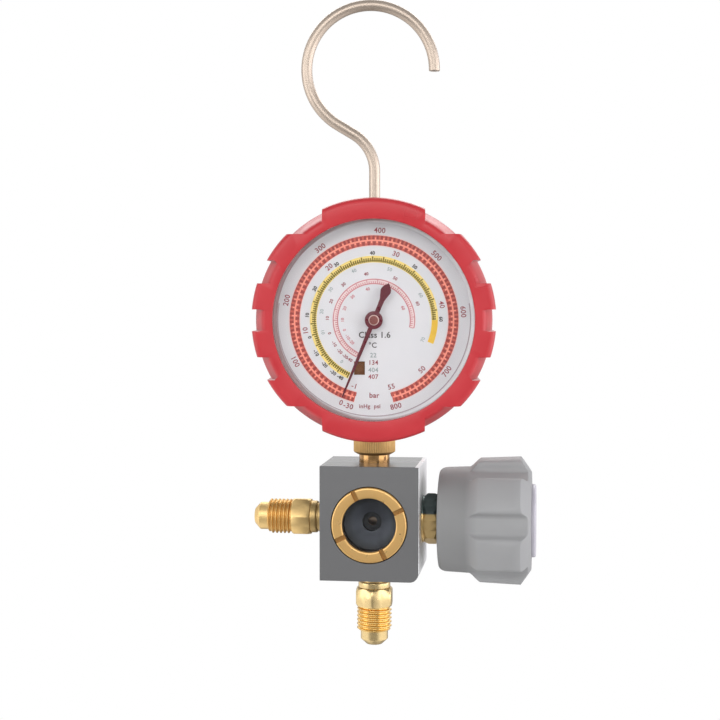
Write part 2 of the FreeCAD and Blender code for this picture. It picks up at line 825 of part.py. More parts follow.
pinion_pitch_radius = gear_module * pinion_teeth / 2.0
sector_pitch_radius = pinion_pitch_radius * sector_ratio
gear_centres = pinion_pitch_radius + sector_pitch_radius
half_scale_turn = (scale_low_turn_deg + scale_high_turn_deg) / 2.0
sector_half_turn = half_scale_turn / sector_ratio
pole_reach = math.hypot(tip_pin_rest[0] - bend_pole[0], tip_pin_rest[1] - bend_pole[1])
tip_ratio = tail_length / sector_ratio / pole_reach
tip_pin_mid = rotate_point(tip_pin_rest, bend_pole, -half_scale_turn * tip_ratio)
pull_x = -(tip_pin_mid[1] - bend_pole[1]) / pole_reach
pull_z = (tip_pin_mid[0] - bend_pole[0]) / pole_reach
aim_x = tip_pin_mid[0] - tail_length * pull_z
aim_z = tip_pin_mid[1] + tail_length * pull_x
aim_along = aim_x * pull_x + aim_z * pull_z
link_length = aim_along + math.sqrt(aim_along ** 2 - aim_x ** 2 - aim_z ** 2 + gear_centres ** 2)
sector_pivot = (aim_x - link_length * pull_x, aim_z - link_length * pull_z)
tail_pin_mid = (tip_pin_mid[0] - link_length * pull_x, tip_pin_mid[1] - link_length * pull_z)
tail_pin_rest = rotate_point(tail_pin_mid, sector_pivot, sector_half_turn)
pinion_side_deg = math.degrees(math.atan2(-sector_pivot[0], -sector_pivot[1]))
sector_rest_deg = pinion_side_deg + sector_half_turn
pinion_gap_deg = pinion_side_deg + 180.0 - half_scale_turn


def swept_section(width, thickness, corner, start_deg, end_deg):
    """A flat section with cut corners, swept round the dial axis between two clock angles."""
    half_width = width / 2.0
    half_thickness = thickness / 2.0
    corners = []
    for across, along in ((half_width, half_thickness - corner), (half_width - corner, half_thickness),
                          (corner - half_width, half_thickness), (-half_width, half_thickness - corner),
                          (-half_width, corner - half_thickness), (corner - half_width, -half_thickness),
                          (half_width - corner, -half_thickness), (half_width, corner - half_thickness)):
        corners.append(Vector(0, tube_depth + across, tube_radius + along))
    face = Part.Face(Part.makePolygon(corners + corners[:1]))
    solid = face.revolve(Vector(0, 0, 0), Vector(0, 1, 0), end_deg - start_deg)
    solid.rotate(Vector(0, 0, 0), Vector(0, 1, 0), start_deg)
    return solid


def bourdon_tube():
    """The flattened bronze tube, hollow, from inside the socket to its free end."""
    start_deg = tube_start_deg - tube_buried_deg
    outer = swept_section(tube_width, tube_thickness, tube_corner, start_deg, tube_end_deg)
    inner = swept_section(tube_width - 2 * tube_wall, tube_thickness - 2 * tube_wall,
                          tube_corner - tube_wall * 0.6, start_deg - 1, tube_end_deg + 1)
    return outer.cut(inner)


def tube_tip():
    """The brass end piece that closes the tube and carries the link's pin."""
    length_deg = math.degrees(tip_length / tube_radius)
    gap_deg = math.degrees(seal_clearance / tube_radius)
    start_deg = tube_end_deg + gap_deg
    block = swept_section(tip_width, tip_thickness, tip_corner, start_deg, start_deg + length_deg)
    pin = pin_at(tip_pin_rest, tip_pin_dia / 2.0, link_front - 0.4, tube_depth)
    return fused([block, pin])


def gauge_socket():
    """The brass socket: the stem with its thread, and the block that holds tube and movement."""
    stem_low = stem_bottom - gauge_height
    back = case_back - case_wall - socket_gap
    stem = rod(stem_thread_dia / 2.0, stem_low, socket_bottom + 1)
    body = Part.makeBox(socket_left + socket_right, back - socket_front, socket_top - socket_bottom,
                        Vector(-socket_left, socket_front, socket_bottom))
    corners = [edge for edge in body.Edges
               if abs(edge.tangentAt(edge.FirstParameter).y) > 0.9]
    body = body.makeFillet(2.0, corners)
    socket = fused([body, stem])
    gap = 2 * seal_clearance
    slot = swept_section(tube_width + gap, tube_thickness + gap, tube_corner,
                         tube_start_deg - tube_buried_deg - 0.3, tube_start_deg + 30)
    socket = socket.cut(slot)
    socket = socket.cut(rod(neck_bore_dia / 2.0, stem_low - 1, -feed_drop))
    feed_end = clock_point(tube_radius, tube_start_deg - tube_buried_deg)
    feed_way = Vector(feed_end[0], tube_depth, feed_end[1] + feed_drop)
    feed = Part.makeCylinder(feed_dia / 2.0, feed_way.Length, Vector(0, 0, -feed_drop), feed_way)
    socket = socket.cut(feed)
    for place in case_screw_places():
        socket = socket.cut(pin_at(place, case_screw_dia / 2.0 + seal_clearance,
                                   back - case_screw_length, back + 1))
    for place in movement_screw_places:
        socket = socket.cut(pin_at(place, small_screw_dia / 2.0 + seal_clearance,
                                   socket_front - 1, socket_front + small_screw_length))
    return socket


save("bourdon_tube", on_gauge(bourdon_tube()))
save("tube_tip", on_gauge(tube_tip()))
save("gauge_socket", on_gauge(gauge_socket()))


# Movement


def tooth_flank(pitch_radius, teeth, radius):
    """Half the angle of a tooth at one radius, on an involute flank."""
    pressure = math.radians(pressure_angle_deg)
    base_radius = pitch_radius * math.cos(pressure)
    inv_pitch = math.tan(pressure) - pressure
    local = math.acos(min(1.0, base_radius / radius))
    inv_here = math.tan(local) - local
    return math.pi / 2.0 / teeth * tooth_thinning + inv_pitch - inv_here


def tooth_points(pitch_radius, teeth, middle_deg):
    """One tooth's outline from root to root, as (x, z) points round the gear's centre."""
    root = pitch_radius - 1.25 * gear_module
    tip = pitch_radius + 0.9 * gear_module
    base = max(root, pitch_radius * math.cos(math.radians(pressure_angle_deg)))
    points = []
    for radius, turn_side in ((root, -1), (base, -1), (pitch_radius, -1), (tip, -1),
                              (tip, 1), (pitch_radius, 1), (base, 1), (root, 1)):
        half = tooth_flank(pitch_radius, teeth, max(radius, base))
        point = clock_point(radius, middle_deg + turn_side * math.degrees(half))
        if not points or math.hypot(point[0] - points[-1][0], point[1] - points[-1][1]) > 0.01:
            points.append(point)
    return points


def pointer_arbor():
    """The pinion and its spindle, one turned and cut piece."""
    outline = []
    for index in range(pinion_teeth):
        middle_deg = pinion_gap_deg + 360.0 / pinion_teeth * (index + 0.5)
        outline += tooth_points(pinion_pitch_radius, pinion_teeth, middle_deg)
    teeth = plate(outline, pinion_front, pinion_length)
    back_end = socket_front - 0.2
    spindle = rod(arbor_dia / 2.0, arbor_front, back_end, "Y")
    shoulder = rod(arbor_dia / 2.0 + 0.3, front_plate_front + front_plate_thickness + 0.1,
                   pinion_front, "Y")
    return fused([teeth, spindle, shoulder])


def sector_gear():
    """The toothed sector: rim, two spokes, hub and the tail with the link's pin."""
    tooth_deg = 360.0 / (pinion_teeth * sector_ratio)
    half_span = tooth_deg * sector_teeth_made / 2.0
    rim_outer = sector_pitch_radius - 1.25 * gear_module
    outline = []
    for index in range(sector_teeth_made):
        middle_deg = sector_rest_deg + tooth_deg * (index - (sector_teeth_made - 1) / 2.0)
        outline += tooth_points(sector_pitch_radius, pinion_teeth * sector_ratio, middle_deg)
    start = sector_rest_deg - half_span
    end = sector_rest_deg + half_span
    outline += [clock_point(rim_outer, end), clock_point(sector_hub_radius * 0.6, sector_rest_deg + 90),
                clock_point(sector_hub_radius * 0.6, sector_rest_deg - 90), clock_point(rim_outer, start)]
    blade = plate(outline, sector_front, sector_thickness)
    window_outer = rim_outer - sector_rim_width
    window_inner = sector_hub_radius + 2.6
    window_half = half_span - sector_spoke_deg
    corners = [clock_point(window_inner, sector_rest_deg - window_half)]
    steps = 6
    for index in range(steps + 1):
        corners.append(clock_point(window_outer,
                                   sector_rest_deg + window_half * (2.0 * index / steps - 1.0)))
    corners.append(clock_point(window_inner, sector_rest_deg + window_half))
    blade = blade.cut(plate(corners, sector_front - 1, sector_thickness + 2))
    hub = rod(sector_hub_radius, sector_front - 0.4, sector_front + sector_thickness + 0.4, "Y")
    tail_end = (tail_pin_rest[0] - sector_pivot[0], tail_pin_rest[1] - sector_pivot[1])
    tail = bar_between((0, 0), tail_end, 2.2, sector_front, sector_thickness)
    eye = pin_at(tail_end, 1.2, sector_front, sector_front + sector_thickness)
    pin = pin_at(tail_end, tail_pin_dia / 2.0, sector_front, link_front + link_thickness + 0.3)
    whole = fused([blade, hub, tail, eye, pin])
    whole = whole.cut(rod(sector_shaft_dia / 2.0 + 0.01, sector_front - 2, sector_front + 3, "Y"))
    whole.translate(Vector(sector_pivot[0], 0, sector_pivot[1]))
    return whole


def link():
    """The link between the tube's tip and the sector's tail; its lower eye is a loose hole."""
    eye_radius = link_eye_radius
    top = pin_at(tip_pin_rest, eye_radius, link_front, link_front + link_thickness)
    low = pin_at(tail_pin_rest, eye_radius, link_front, link_front + link_thickness)
    bar = bar_between(tip_pin_rest, tail_pin_rest, link_bar_width, link_front, link_thickness)
    whole = fused([top, low, bar])
    back = link_front + link_thickness + 1
    whole = whole.cut(pin_at(tip_pin_rest, tip_pin_dia / 2.0 + running_clearance, link_front - 1, back))
    return whole.cut(pin_at(tail_pin_rest, tail_pin_dia / 2.0 + open_pivot_clearance,
                            link_front - 1, back))


def rounded_plate(points, front, thickness):
    """A plate with a round margin about a polygon of places."""
    corners = [Vector(x, front, z) for x, z in points]
    wire = Part.Wire(Part.makePolygon(corners + corners[:1]).Edges)
    grown = wire.makeOffset2D(plate_margin, 0, False, False, True)
    return Part.Face(grown).extrude(Vector(0, thickness, 0))


def pillar_screw_holes(solid, front, back):
    """Drill a plate for the screws that go into the pillars."""
    for place in pillar_places:
        solid = solid.cut(pin_at(place, plate_screw_dia / 2.0 + seal_clearance, front, back))
    return solid


def movement_plate(points, front, thickness):
    """A brass plate with bearing holes for the arbor and the sector's shaft."""
    solid = rounded_plate(points, front, thickness)
    low = front - 1
    high = front + thickness + 1
    solid = solid.cut(rod(arbor_dia / 2.0 + running_clearance, low, high, "Y"))
    solid = solid.cut(pin_at(sector_pivot, sector_shaft_dia / 2.0 + running_clearance, low, high))
    return pillar_screw_holes(solid, low, high)


def front_plate():
    """The front plate, which also takes the zero screw."""
    points = [pillar_places[0], plate_crown, pillar_places[2], sector_pivot, pillar_places[1]]
    solid = movement_plate(points, front_plate_front, front_plate_thickness)
    return solid.cut(pin_at(zero_screw_place, zero_screw_dia / 2.0 + running_clearance,
                            front_plate_front - 1, front_plate_front + 3))


def back_plate():
    """The back plate, with a foot that is screwed to the socket."""
    points = [pillar_places[0], plate_crown, pillar_places[2], sector_pivot,
              plate_foot[1], plate_foot[0]]
    solid = movement_plate(points, back_plate_front, back_plate_thickness)
    for place in movement_screw_places:
        solid = solid.cut(pin_at(place, small_screw_dia / 2.0 + seal_clearance,
                                 back_plate_front - 1, socket_front + 1))
    return solid


def pillars():
    """Three round pillars that space the plates."""
    front = front_plate_front + front_plate_thickness
    bore = plate_screw_dia / 2.0 + seal_clearance
    return Part.makeCompound([
        pin_at(place, pillar_dia / 2.0, front, back_plate_front).cut(
            pin_at(place, bore, front - 1, front + plate_screw_length)) for place in pillar_places])


def hairspring():
    """The flat spiral spring that takes up the play of the teeth: half rings on two centres."""
    rings = []
    radius = hairspring_inner_radius + hairspring_pitch / 4.0
    centre = -hairspring_pitch / 4.0
    for index in range(hairspring_half_turns):
        ring = tube(radius + hairspring_thickness / 2.0, radius - hairspring_thickness / 2.0,
                    hairspring_front, hairspring_front + hairspring_width, "Y")
        ring.translate(Vector(centre, 0, 0))
        side_sign = 1 if index % 2 == 0 else -1
        reach = radius + hairspring_pitch
        low = 0.0 if side_sign > 0 else -reach
        half_space = Part.makeBox(2 * reach, 2 * hairspring_width, reach,
                                  Vector(-reach, hairspring_front - hairspring_width / 2.0, low))
        rings.append(ring.common(half_space))
        radius += hairspring_pitch / 2.0
        centre += side_sign * hairspring_pitch / 2.0
    return fused(rings)


def hairspring_end():
    """Where the spring's outer end meets its stud, as an (x, z) place."""
    last_radius = hairspring_inner_radius + hairspring_pitch / 4.0
    last_radius += hairspring_pitch / 2.0 * (hairspring_half_turns - 1)
    return (last_radius + hairspring_pitch / 4.0 * (-1 if hairspring_half_turns % 2 else 1), 0.0)


def hairspring_stud():
    """The post on the back plate that holds the spring's outer end."""
    place = hairspring_end()
    return pin_at((place[0] + stud_dia / 2.0 + seal_clearance + hairspring_thickness / 2.0, -stud_dia / 2.0),
                  stud_dia / 2.0, hairspring_front - 0.3, back_plate_front)


save("pointer_arbor", on_gauge(pointer_arbor()))
save("sector_gear", on_gauge(sector_gear()))
sector_shaft_front = front_plate_front + 0.1
sector_shaft_back = socket_front - 0.1
save("sector_shaft", on_gauge(pin_at(sector_pivot, sector_shaft_dia / 2.0,
                                     sector_shaft_front, sector_shaft_back)))
save("link", on_gauge(link()))
save("front_plate", on_gauge(front_plate()))
save("back_plate", on_gauge(back_plate()))
save("pillars", on_gauge(pillars()))
save("pillar_screws", on_gauge(Part.makeCompound([
    screw_from(place, plate_screw_head_dia, plate_screw_head_length, plate_screw_dia,
               front_plate_thickness + plate_screw_length - 0.2, front_plate_front, 1)
    for place in pillar_places])))
save("movement_screws", on_gauge(Part.makeCompound([
    screw_from(place, small_screw_head_dia, small_screw_head_length, small_screw_dia,
               small_screw_length, back_plate_front, 1) for place in movement_screw_places])))
save("hairspring", on_gauge(hairspring()))
save("hairspring_collet", on_gauge(tube(hairspring_inner_radius - hairspring_thickness / 2.0 - 0.02,
                                        collet_bore_dia / 2.0 + 0.01, hairspring_front,
                                        hairspring_front + hairspring_width + 0.6, "Y")))
save("hairspring_stud", on_gauge(hairspring_stud()))
save("zero_screw", on_gauge(screw_from(zero_screw_place, zero_screw_head_dia, zero_screw_head_length,
                                       zero_screw_dia, front_plate_thickness + 0.4,
                                       front_plate_front - 0.1, 1)))


# Pointer


def pointer():
    """The flat pointer: a tapering needle, a round boss and a spade-shaped tail."""
    half = pointer_needle_width / 2.0
    tip = pointer_tip_width / 2.0
    tail_half = pointer_tail_width / 2.0
    spade_half = pointer_spade_width / 2.0
    spade = pointer_spade_place
    outline = [
        (-half, 0), (-tip, pointer_needle_length - 0.6), (0, pointer_needle_length),
        (tip, pointer_needle_length - 0.6), (half, 0), (tail_half, -spade + 2.2),
        (spade_half, -spade), (spade_half * 0.9, -spade - 0.9), (0, -pointer_tail_length),
        (-spade_half * 0.9, -spade - 0.9), (-spade_half, -spade), (-tail_half, -spade + 2.2)]
    blade = plate(outline, pointer_front, pointer_thickness)
    boss = rod(pointer_boss_radius, pointer_front, pointer_front + pointer_thickness, "Y")
    whole = fused([blade, boss])
    whole = whole.cut(rod(pointer_bush_dia / 2.0 + 0.01, pointer_front - 1, pointer_front + 2, "Y"))
    whole.rotate(Vector(0, 0, 0), Vector(0, 1, 0), scale_zero_deg)
    return whole


def pointer_bush():
    """The brass bush that grips the arbor."""
    front = pointer_front - pointer_bush_proud
    return tube(pointer_bush_dia / 2.0, arbor_dia / 2.0 + 0.01, front, front + pointer_bush_length, "Y")


save("pointer", on_gauge(pointer()))
save("pointer_bush", on_gauge(pointer_bush()))


# Hook


def hook_path():
    """The wire's centre line in the (x, z) plane, from the foot to the open end."""
    middle = (hook_loop_side, hook_loop_rise)
    leave = math.radians(hook_leave_deg)
    leave_point = Vector(middle[0] + hook_loop_radius * math.cos(leave), 0,
                         middle[1] + hook_loop_radius * math.sin(leave))
    heading = Vector(-math.sin(leave), 0, math.cos(leave))
    down_deg = hook_leave_deg - 180.0
    side_step = hook_bend_radius * (1.0 - math.sin(math.radians(90.0 - down_deg)))
    straight = (-leave_point.x - side_step) / heading.x
    bend_start = leave_point + heading * straight
    bend_centre = bend_start + Vector(math.cos(leave), 0, math.sin(leave)) * hook_bend_radius
    bend_end = bend_centre + Vector(hook_bend_radius, 0, 0)
    half = math.radians(down_deg / 2.0)
    bend_middle = bend_centre + Vector(math.cos(half), 0, math.sin(half)) * hook_bend_radius
    end = math.radians(hook_end_deg)
    end_point = Vector(middle[0] + hook_loop_radius * math.cos(end), 0,
                       middle[1] + hook_loop_radius * math.sin(end))
    top = math.radians((hook_end_deg + hook_leave_deg) / 2.0)
    loop_middle = Vector(middle[0] + hook_loop_radius * math.cos(top), 0,
                         middle[1] + hook_loop_radius * math.sin(top))
    foot = Vector(0, 0, case_radius + hook_foot_rise)
    return Part.Wire([
        Part.LineSegment(foot, bend_end).toShape(),
        Part.Arc(bend_end, bend_middle, bend_start).toShape(),
        Part.LineSegment(bend_start, leave_point).toShape(),
        Part.Arc(leave_point, loop_middle, end_point).toShape()])


def hook():
    """The bent wire hook with its threaded foot through the case."""
    path = hook_path()
    start = case_radius + hook_foot_rise
    ring = Part.Wire([Part.makeCircle(hook_wire_dia / 2.0, Vector(0, 0, start), Vector(0, 0, 1))])
    wire = path.makePipeShell([ring], True, True)
    foot = turned([
        (0, case_radius - case_wall - hook_thread_length),
        (hook_thread_dia / 2.0, case_radius - case_wall - hook_thread_length),
        (hook_thread_dia / 2.0, case_radius + 0.1), (hook_wire_dia / 2.0, case_radius + 0.1),
        (hook_wire_dia / 2.0, start), (0, start)])
    return fused([Part.Solid(wire) if wire.ShapeType == "Shell" else wire, foot])


def hook_nut():
    """The nut inside the case that keeps the hook."""
    top = case_radius - case_wall - hook_washer_thickness - 0.2
    nut = hex_bar(hook_nut_width, top - hook_nut_length, top)
    return nut.cut(rod(hook_thread_dia / 2.0 + 0.01, top - hook_nut_length - 1, top + 1))


def hook_washer():
    """The washer between the nut and the wall of the case."""
    top = case_radius - case_wall - 0.2
    return tube(hook_washer_dia / 2.0, hook_thread_dia / 2.0 + 0.05, top - hook_washer_thickness, top)


save("hook", on_gauge(hook()))
save("hook_nut", on_gauge(hook_nut()))
save("hook_washer", on_gauge(hook_washer()))


# Valve


def bonnet():
    """The brass bonnet: threaded shank, flange, hexagon and the bore for stem and packing."""
    shank = bonnet_shank_dia / 2.0
    seal_end = block_right - bonnet_seal_place
    seal_start = seal_end - bonnet_seal_width
    flange_end = block_right + bonnet_flange_length
    lathe = turned([
        (0, bonnet_bore_start + 0.3), (shank, bonnet_bore_start + 0.3), (shank, seal_start),
        (shank - bonnet_seal_depth, seal_start), (shank - bonnet_seal_depth, seal_end),
        (shank, seal_end), (shank, block_right), (bonnet_flange_dia / 2.0, block_right),
        (bonnet_flange_dia / 2.0, flange_end), (0, flange_end)])
    hexagon = chamfered_hex(bonnet_hex_width, flange_end, bonnet_end, bonnet_hex_chamfer,
                            bonnet_hex_turn_deg)
    whole = fused([lathe, hexagon])
    whole = whole.cut(rod(bonnet_thread_bore_dia / 2.0, 0, bonnet_end + 1))
    whole = whole.cut(rod(packing_bore_dia / 2.0, packing_start, bonnet_end + 1))
    return lay_along_x(whole)


def bonnet_seal():
    """The ring seal in the bonnet's shank."""
    middle = block_right - bonnet_seal_place - bonnet_seal_width / 2.0
    return lay_along_x(ring_seal(bonnet_shank_dia, bonnet_seal_depth, bonnet_seal_width, middle))


def packing():
    """Flat rings that seal the stem under the gland nut."""
    rings = []
    inner = stem_shaft_dia / 2.0 + running_clearance
    outer = packing_bore_dia / 2.0 - seal_clearance
    for index in range(packing_ring_count):
        start = packing_start + index * (packing_ring_thickness + seal_clearance)
        rings.append(lay_along_x(tube(outer, inner, start, start + packing_ring_thickness)))
    return Part.makeCompound(rings)


def gland_nut():
    """The slotted nut that presses on the packing, hidden in the back of the knob."""
    nose_start = packing_start + packing_ring_count * (packing_ring_thickness + seal_clearance)
    nose = packing_bore_dia / 2.0 - seal_clearance
    head = gland_head_dia / 2.0
    nut = turned([
        (0, nose_start), (nose, nose_start), (nose, bonnet_end), (head, bonnet_end),
        (head, gland_end - 0.4), (head - 0.4, gland_end), (0, gland_end)])
    nut = nut.cut(rod(stem_shaft_dia / 2.0 + running_clearance, nose_start - 1, gland_end + 1))
    slot = Part.makeBox(gland_head_dia + 2, gland_slot_width, gland_slot_depth + 1,
                        Vector(-head - 1, -gland_slot_width / 2.0, gland_end - gland_slot_depth))
    return lay_along_x(nut.cut(slot))


def valve_stem():
    """The rotating stem: nose in the piston, thread, smooth shaft and square end."""
    nose = piston_socket_dia / 2.0 - running_clearance
    groove = nose - 0.5
    clip_end = clip_place + clip_thickness + 0.2
    thread = stem_thread_dia_valve / 2.0
    shaft = stem_shaft_dia / 2.0
    lathe = turned([
        (0, stem_nose_start), (nose, stem_nose_start), (nose, clip_place - 0.1),
        (groove, clip_place - 0.1), (groove, clip_end), (nose, clip_end), (nose, stem_thread_start),
        (thread, stem_thread_start), (thread, stem_thread_end), (shaft, stem_thread_end),
        (shaft, stem_square_start), (0, stem_square_start)])
    half = stem_square / 2.0
    square = Part.makeBox(stem_square, stem_square, stem_end - stem_square_start + 0.5,
                          Vector(-half, -half, stem_square_start - 0.5))
    whole = fused([lathe, square])
    tapped = rod(knob_screw_dia / 2.0 + 0.02, stem_end - knob_screw_depth - 0.5, stem_end + 1)
    return lay_along_x(whole.cut(tapped))


def valve_piston():
    """The sliding piston that does not turn; its socket holds the nose of the stem."""
    start = -valve_seat_place + seat_gap + seat_disc_thickness
    radius = piston_dia / 2.0
    body = turned([
        (0, start), (radius - 0.3, start), (radius, start + 0.3), (radius, piston_end), (0, piston_end)])
    body = body.cut(rod(piston_socket_dia / 2.0, piston_socket_start, piston_end + 1))
    body = body.cut(tube(clip_dia / 2.0, piston_socket_dia / 2.0 - 0.1, clip_place,
                         clip_place + clip_thickness + 0.1))
    return lay_along_x(body)


def piston_clip():
    """The snap ring that ties piston and stem together."""
    inner = piston_socket_dia / 2.0 - running_clearance - 0.5 + 0.1
    ring = tube(clip_dia / 2.0 - 0.05, inner, clip_place + 0.05, clip_place + clip_thickness + 0.05)
    gap = Part.makeBox(clip_dia, 1.0, clip_thickness + 1, Vector(0, -0.5, clip_place - 0.2))
    return lay_along_x(ring.cut(gap))


seat_start = -valve_seat_place + seat_gap
save("bonnet", bonnet())
save("bonnet_seal", bonnet_seal())
save("packing", packing())
save("gland_nut", gland_nut())
save("valve_stem", valve_stem())
save("valve_piston", valve_piston())
save("piston_clip", piston_clip())
save("seat_disc", lay_along_x(rod(seat_disc_dia / 2.0, seat_start, seat_start + seat_disc_thickness)))


# Knob


def knob_lobe(index):
    """One grip lobe: a wedge of a bevelled round bar, with rounded long edges."""
    lobe = turned([
        (0, knob_lobe_start), (knob_skirt_radius - 0.4, knob_lobe_start),
        (knob_lobe_rear_radius, knob_lobe_full), (knob_lobe_radius, knob_lobe_end),
        (knob_face_radius, knob_face), (0, knob_face)])
    half = math.radians(knob_lobe_width_deg / 2.0)
    reach = knob_lobe_radius + 2.0
    middle = knob_lobe_radius * math.sin(half)
    root = knob_skirt_radius * math.sin(half) + 0.8
    slab = Part.Face(Part.makePolygon([
        Vector(0, -root, knob_lobe_start - 1), Vector(knob_skirt_radius - 1, -root, knob_lobe_start - 1),
        Vector(reach, -middle, knob_lobe_start - 1), Vector(reach, middle, knob_lobe_start - 1),
        Vector(knob_skirt_radius - 1, root, knob_lobe_start - 1), Vector(0, root, knob_lobe_start - 1),
        Vector(0, -root, knob_lobe_start - 1)])).extrude(Vector(0, 0, knob_face - knob_lobe_start + 2))
    lobe = lobe.common(slab)
    long_edges = [edge for edge in lobe.Edges
                  if edge.Length > (knob_lobe_end - knob_lobe_full) * 0.9
                  and abs(edge.tangentAt(edge.FirstParameter).z) > 0.98
                  and math.hypot(edge.CenterOfMass.x, edge.CenterOfMass.y) > knob_skirt_radius + 1]
    if long_edges:
        lobe = lobe.makeFillet(knob_lobe_fillet, long_edges)
    lobe.rotate(Vector(0, 0, 0), Vector(0, 0, 1), 360.0 / knob_lobe_count * index)
    return lobe


def knob():
    """The moulded knob: round skirt, six lobes, hollow ribbed back and a well for its screw."""
    body = turned([
        (0, knob_start), (knob_base_radius - knob_base_round, knob_start),
        (knob_base_radius - knob_base_round * 0.3, knob_start + knob_base_run * 0.3),
        (knob_base_radius, knob_start + knob_base_run), (knob_skirt_radius, knob_lobe_start),
        (knob_skirt_radius, knob_lobe_end + 1.4), (knob_face_radius, knob_face), (0, knob_face)])
    lobes = [knob_lobe(index) for index in range(knob_lobe_count)]
    body = fused([body] + lobes)
    cavity = knob_base_radius - knob_wall
    body = body.cut(tube(cavity, knob_hub_radius, knob_start - 1, knob_cavity_end))
    body = body.cut(rod(knob_hub_radius + 0.5, knob_start - 1, knob_hub_start))
    ribs = []
    for index in range(knob_lobe_count):
        rib = Part.makeBox(cavity - knob_hub_radius + 1.0, knob_rib_thickness,
                           knob_cavity_end - knob_rib_start + 0.5,
                           Vector(knob_hub_radius - 0.5, -knob_rib_thickness / 2.0, knob_rib_start))
        rib.rotate(Vector(0, 0, 0), Vector(0, 0, 1), 360.0 / knob_lobe_count * (index + 0.5))
        ribs.append(rib)
    body = fused([body] + ribs)
    body = body.cut(rod(insert_radius + 0.01, knob_hub_start - 1, knob_hub_start + insert_length))
    body = body.cut(rod(knob_screw_dia / 2.0 + 0.2, knob_hub_start, knob_face))
    body = body.cut(rod(knob_well_radius, knob_web_front, knob_face + 1))
    body.rotate(Vector(0, 0, 0), Vector(0, 0, 1), knob_turn_deg)
    return lay_along_x(body)


def knob_insert():
    """The brass insert with the square socket for the stem."""
    end = knob_hub_start + insert_length
    body = rod(insert_radius, knob_hub_start, end)
    half = stem_square / 2.0 + 0.03
    return lay_along_x(body.cut(Part.makeBox(2 * half, 2 * half, insert_length + 2,
                                             Vector(-half, -half, knob_hub_start - 1))))


def knob_screw():
    """The screw that holds the knob to the stem."""
    head = knob_screw_head_dia / 2.0
    shank = knob_screw_dia / 2.0
    screw = turned([
        (0, stem_end - knob_screw_depth), (shank, stem_end - knob_screw_depth), (shank, knob_web_front),
        (head, knob_web_front), (head, knob_web_front + knob_screw_head_length * 0.6),
        (head * 0.6, knob_web_front + knob_screw_head_length),
        (0, knob_web_front + knob_screw_head_length)])
    slot = Part.makeBox(knob_screw_head_dia + 1, 0.8, 2.0,
                        Vector(-head - 0.5, -0.4, knob_web_front + knob_screw_head_length - 0.9))
    return lay_along_x(screw.cut(slot))


def knob_cap():
    """The round cap that closes the knob's face, pressed into the screw well."""
    spigot = knob_well_radius - cap_spigot_clearance
    return lay_along_x(turned([
        (0, knob_face - cap_spigot_length), (spigot, knob_face - cap_spigot_length), (spigot, knob_face),
        (cap_radius, knob_face), (cap_radius, knob_face + cap_thickness - cap_edge),
        (cap_radius - cap_edge, knob_face + cap_thickness), (0, knob_face + cap_thickness)]))


save("knob", knob())
save("knob_insert", knob_insert())
save("knob_screw", knob_screw())
save("knob_cap", knob_cap())
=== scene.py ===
import math

import bmesh
import bpy
from mathutils import Matrix, Vector


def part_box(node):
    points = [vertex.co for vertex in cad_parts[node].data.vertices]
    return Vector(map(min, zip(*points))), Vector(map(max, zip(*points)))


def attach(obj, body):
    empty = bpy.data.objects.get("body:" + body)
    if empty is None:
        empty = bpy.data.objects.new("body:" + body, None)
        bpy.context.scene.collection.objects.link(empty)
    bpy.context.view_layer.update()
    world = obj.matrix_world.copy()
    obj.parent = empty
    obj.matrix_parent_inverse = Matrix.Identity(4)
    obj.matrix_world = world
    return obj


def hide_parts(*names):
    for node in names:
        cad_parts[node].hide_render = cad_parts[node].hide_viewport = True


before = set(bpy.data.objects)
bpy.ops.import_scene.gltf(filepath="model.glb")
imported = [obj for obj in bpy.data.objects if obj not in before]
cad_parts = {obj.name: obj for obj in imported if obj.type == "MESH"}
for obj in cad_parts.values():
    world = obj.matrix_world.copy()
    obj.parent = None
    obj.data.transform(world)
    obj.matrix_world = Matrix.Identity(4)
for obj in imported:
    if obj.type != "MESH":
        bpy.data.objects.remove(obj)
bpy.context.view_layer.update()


# Studio: a pale seamless sweep behind and below the gauge, soft panels above and beside it,
# and a camera a little to the right of the block's front, as for a catalogue picture.

camera_place = Vector((0.0558, -0.4700, 0.0995))
camera_aim = Vector((-0.00465, 0.0, 0.0785))
camera_focal_pixels = 1491.0
picture_pixels = 720.0
sweep_floor = -0.13
sweep_near = -1.6
sweep_bend_start = 0.55
sweep_bend = 0.35
sweep_top = 1.4
sweep_half_width = 2.2


def add_to_scene(name, data):
    """A scene object that carries a mesh, a lamp or a camera."""
    made = bpy.data.objects.new(name, data)
    bpy.context.scene.collection.objects.link(made)
    return made


def aimed(thing, place, aim):
    """Put a lamp or camera at one place and point it at another."""
    thing.location = place
    thing.rotation_euler = (Vector(aim) - Vector(place)).to_track_quat("-Z", "Y").to_euler()
    return thing


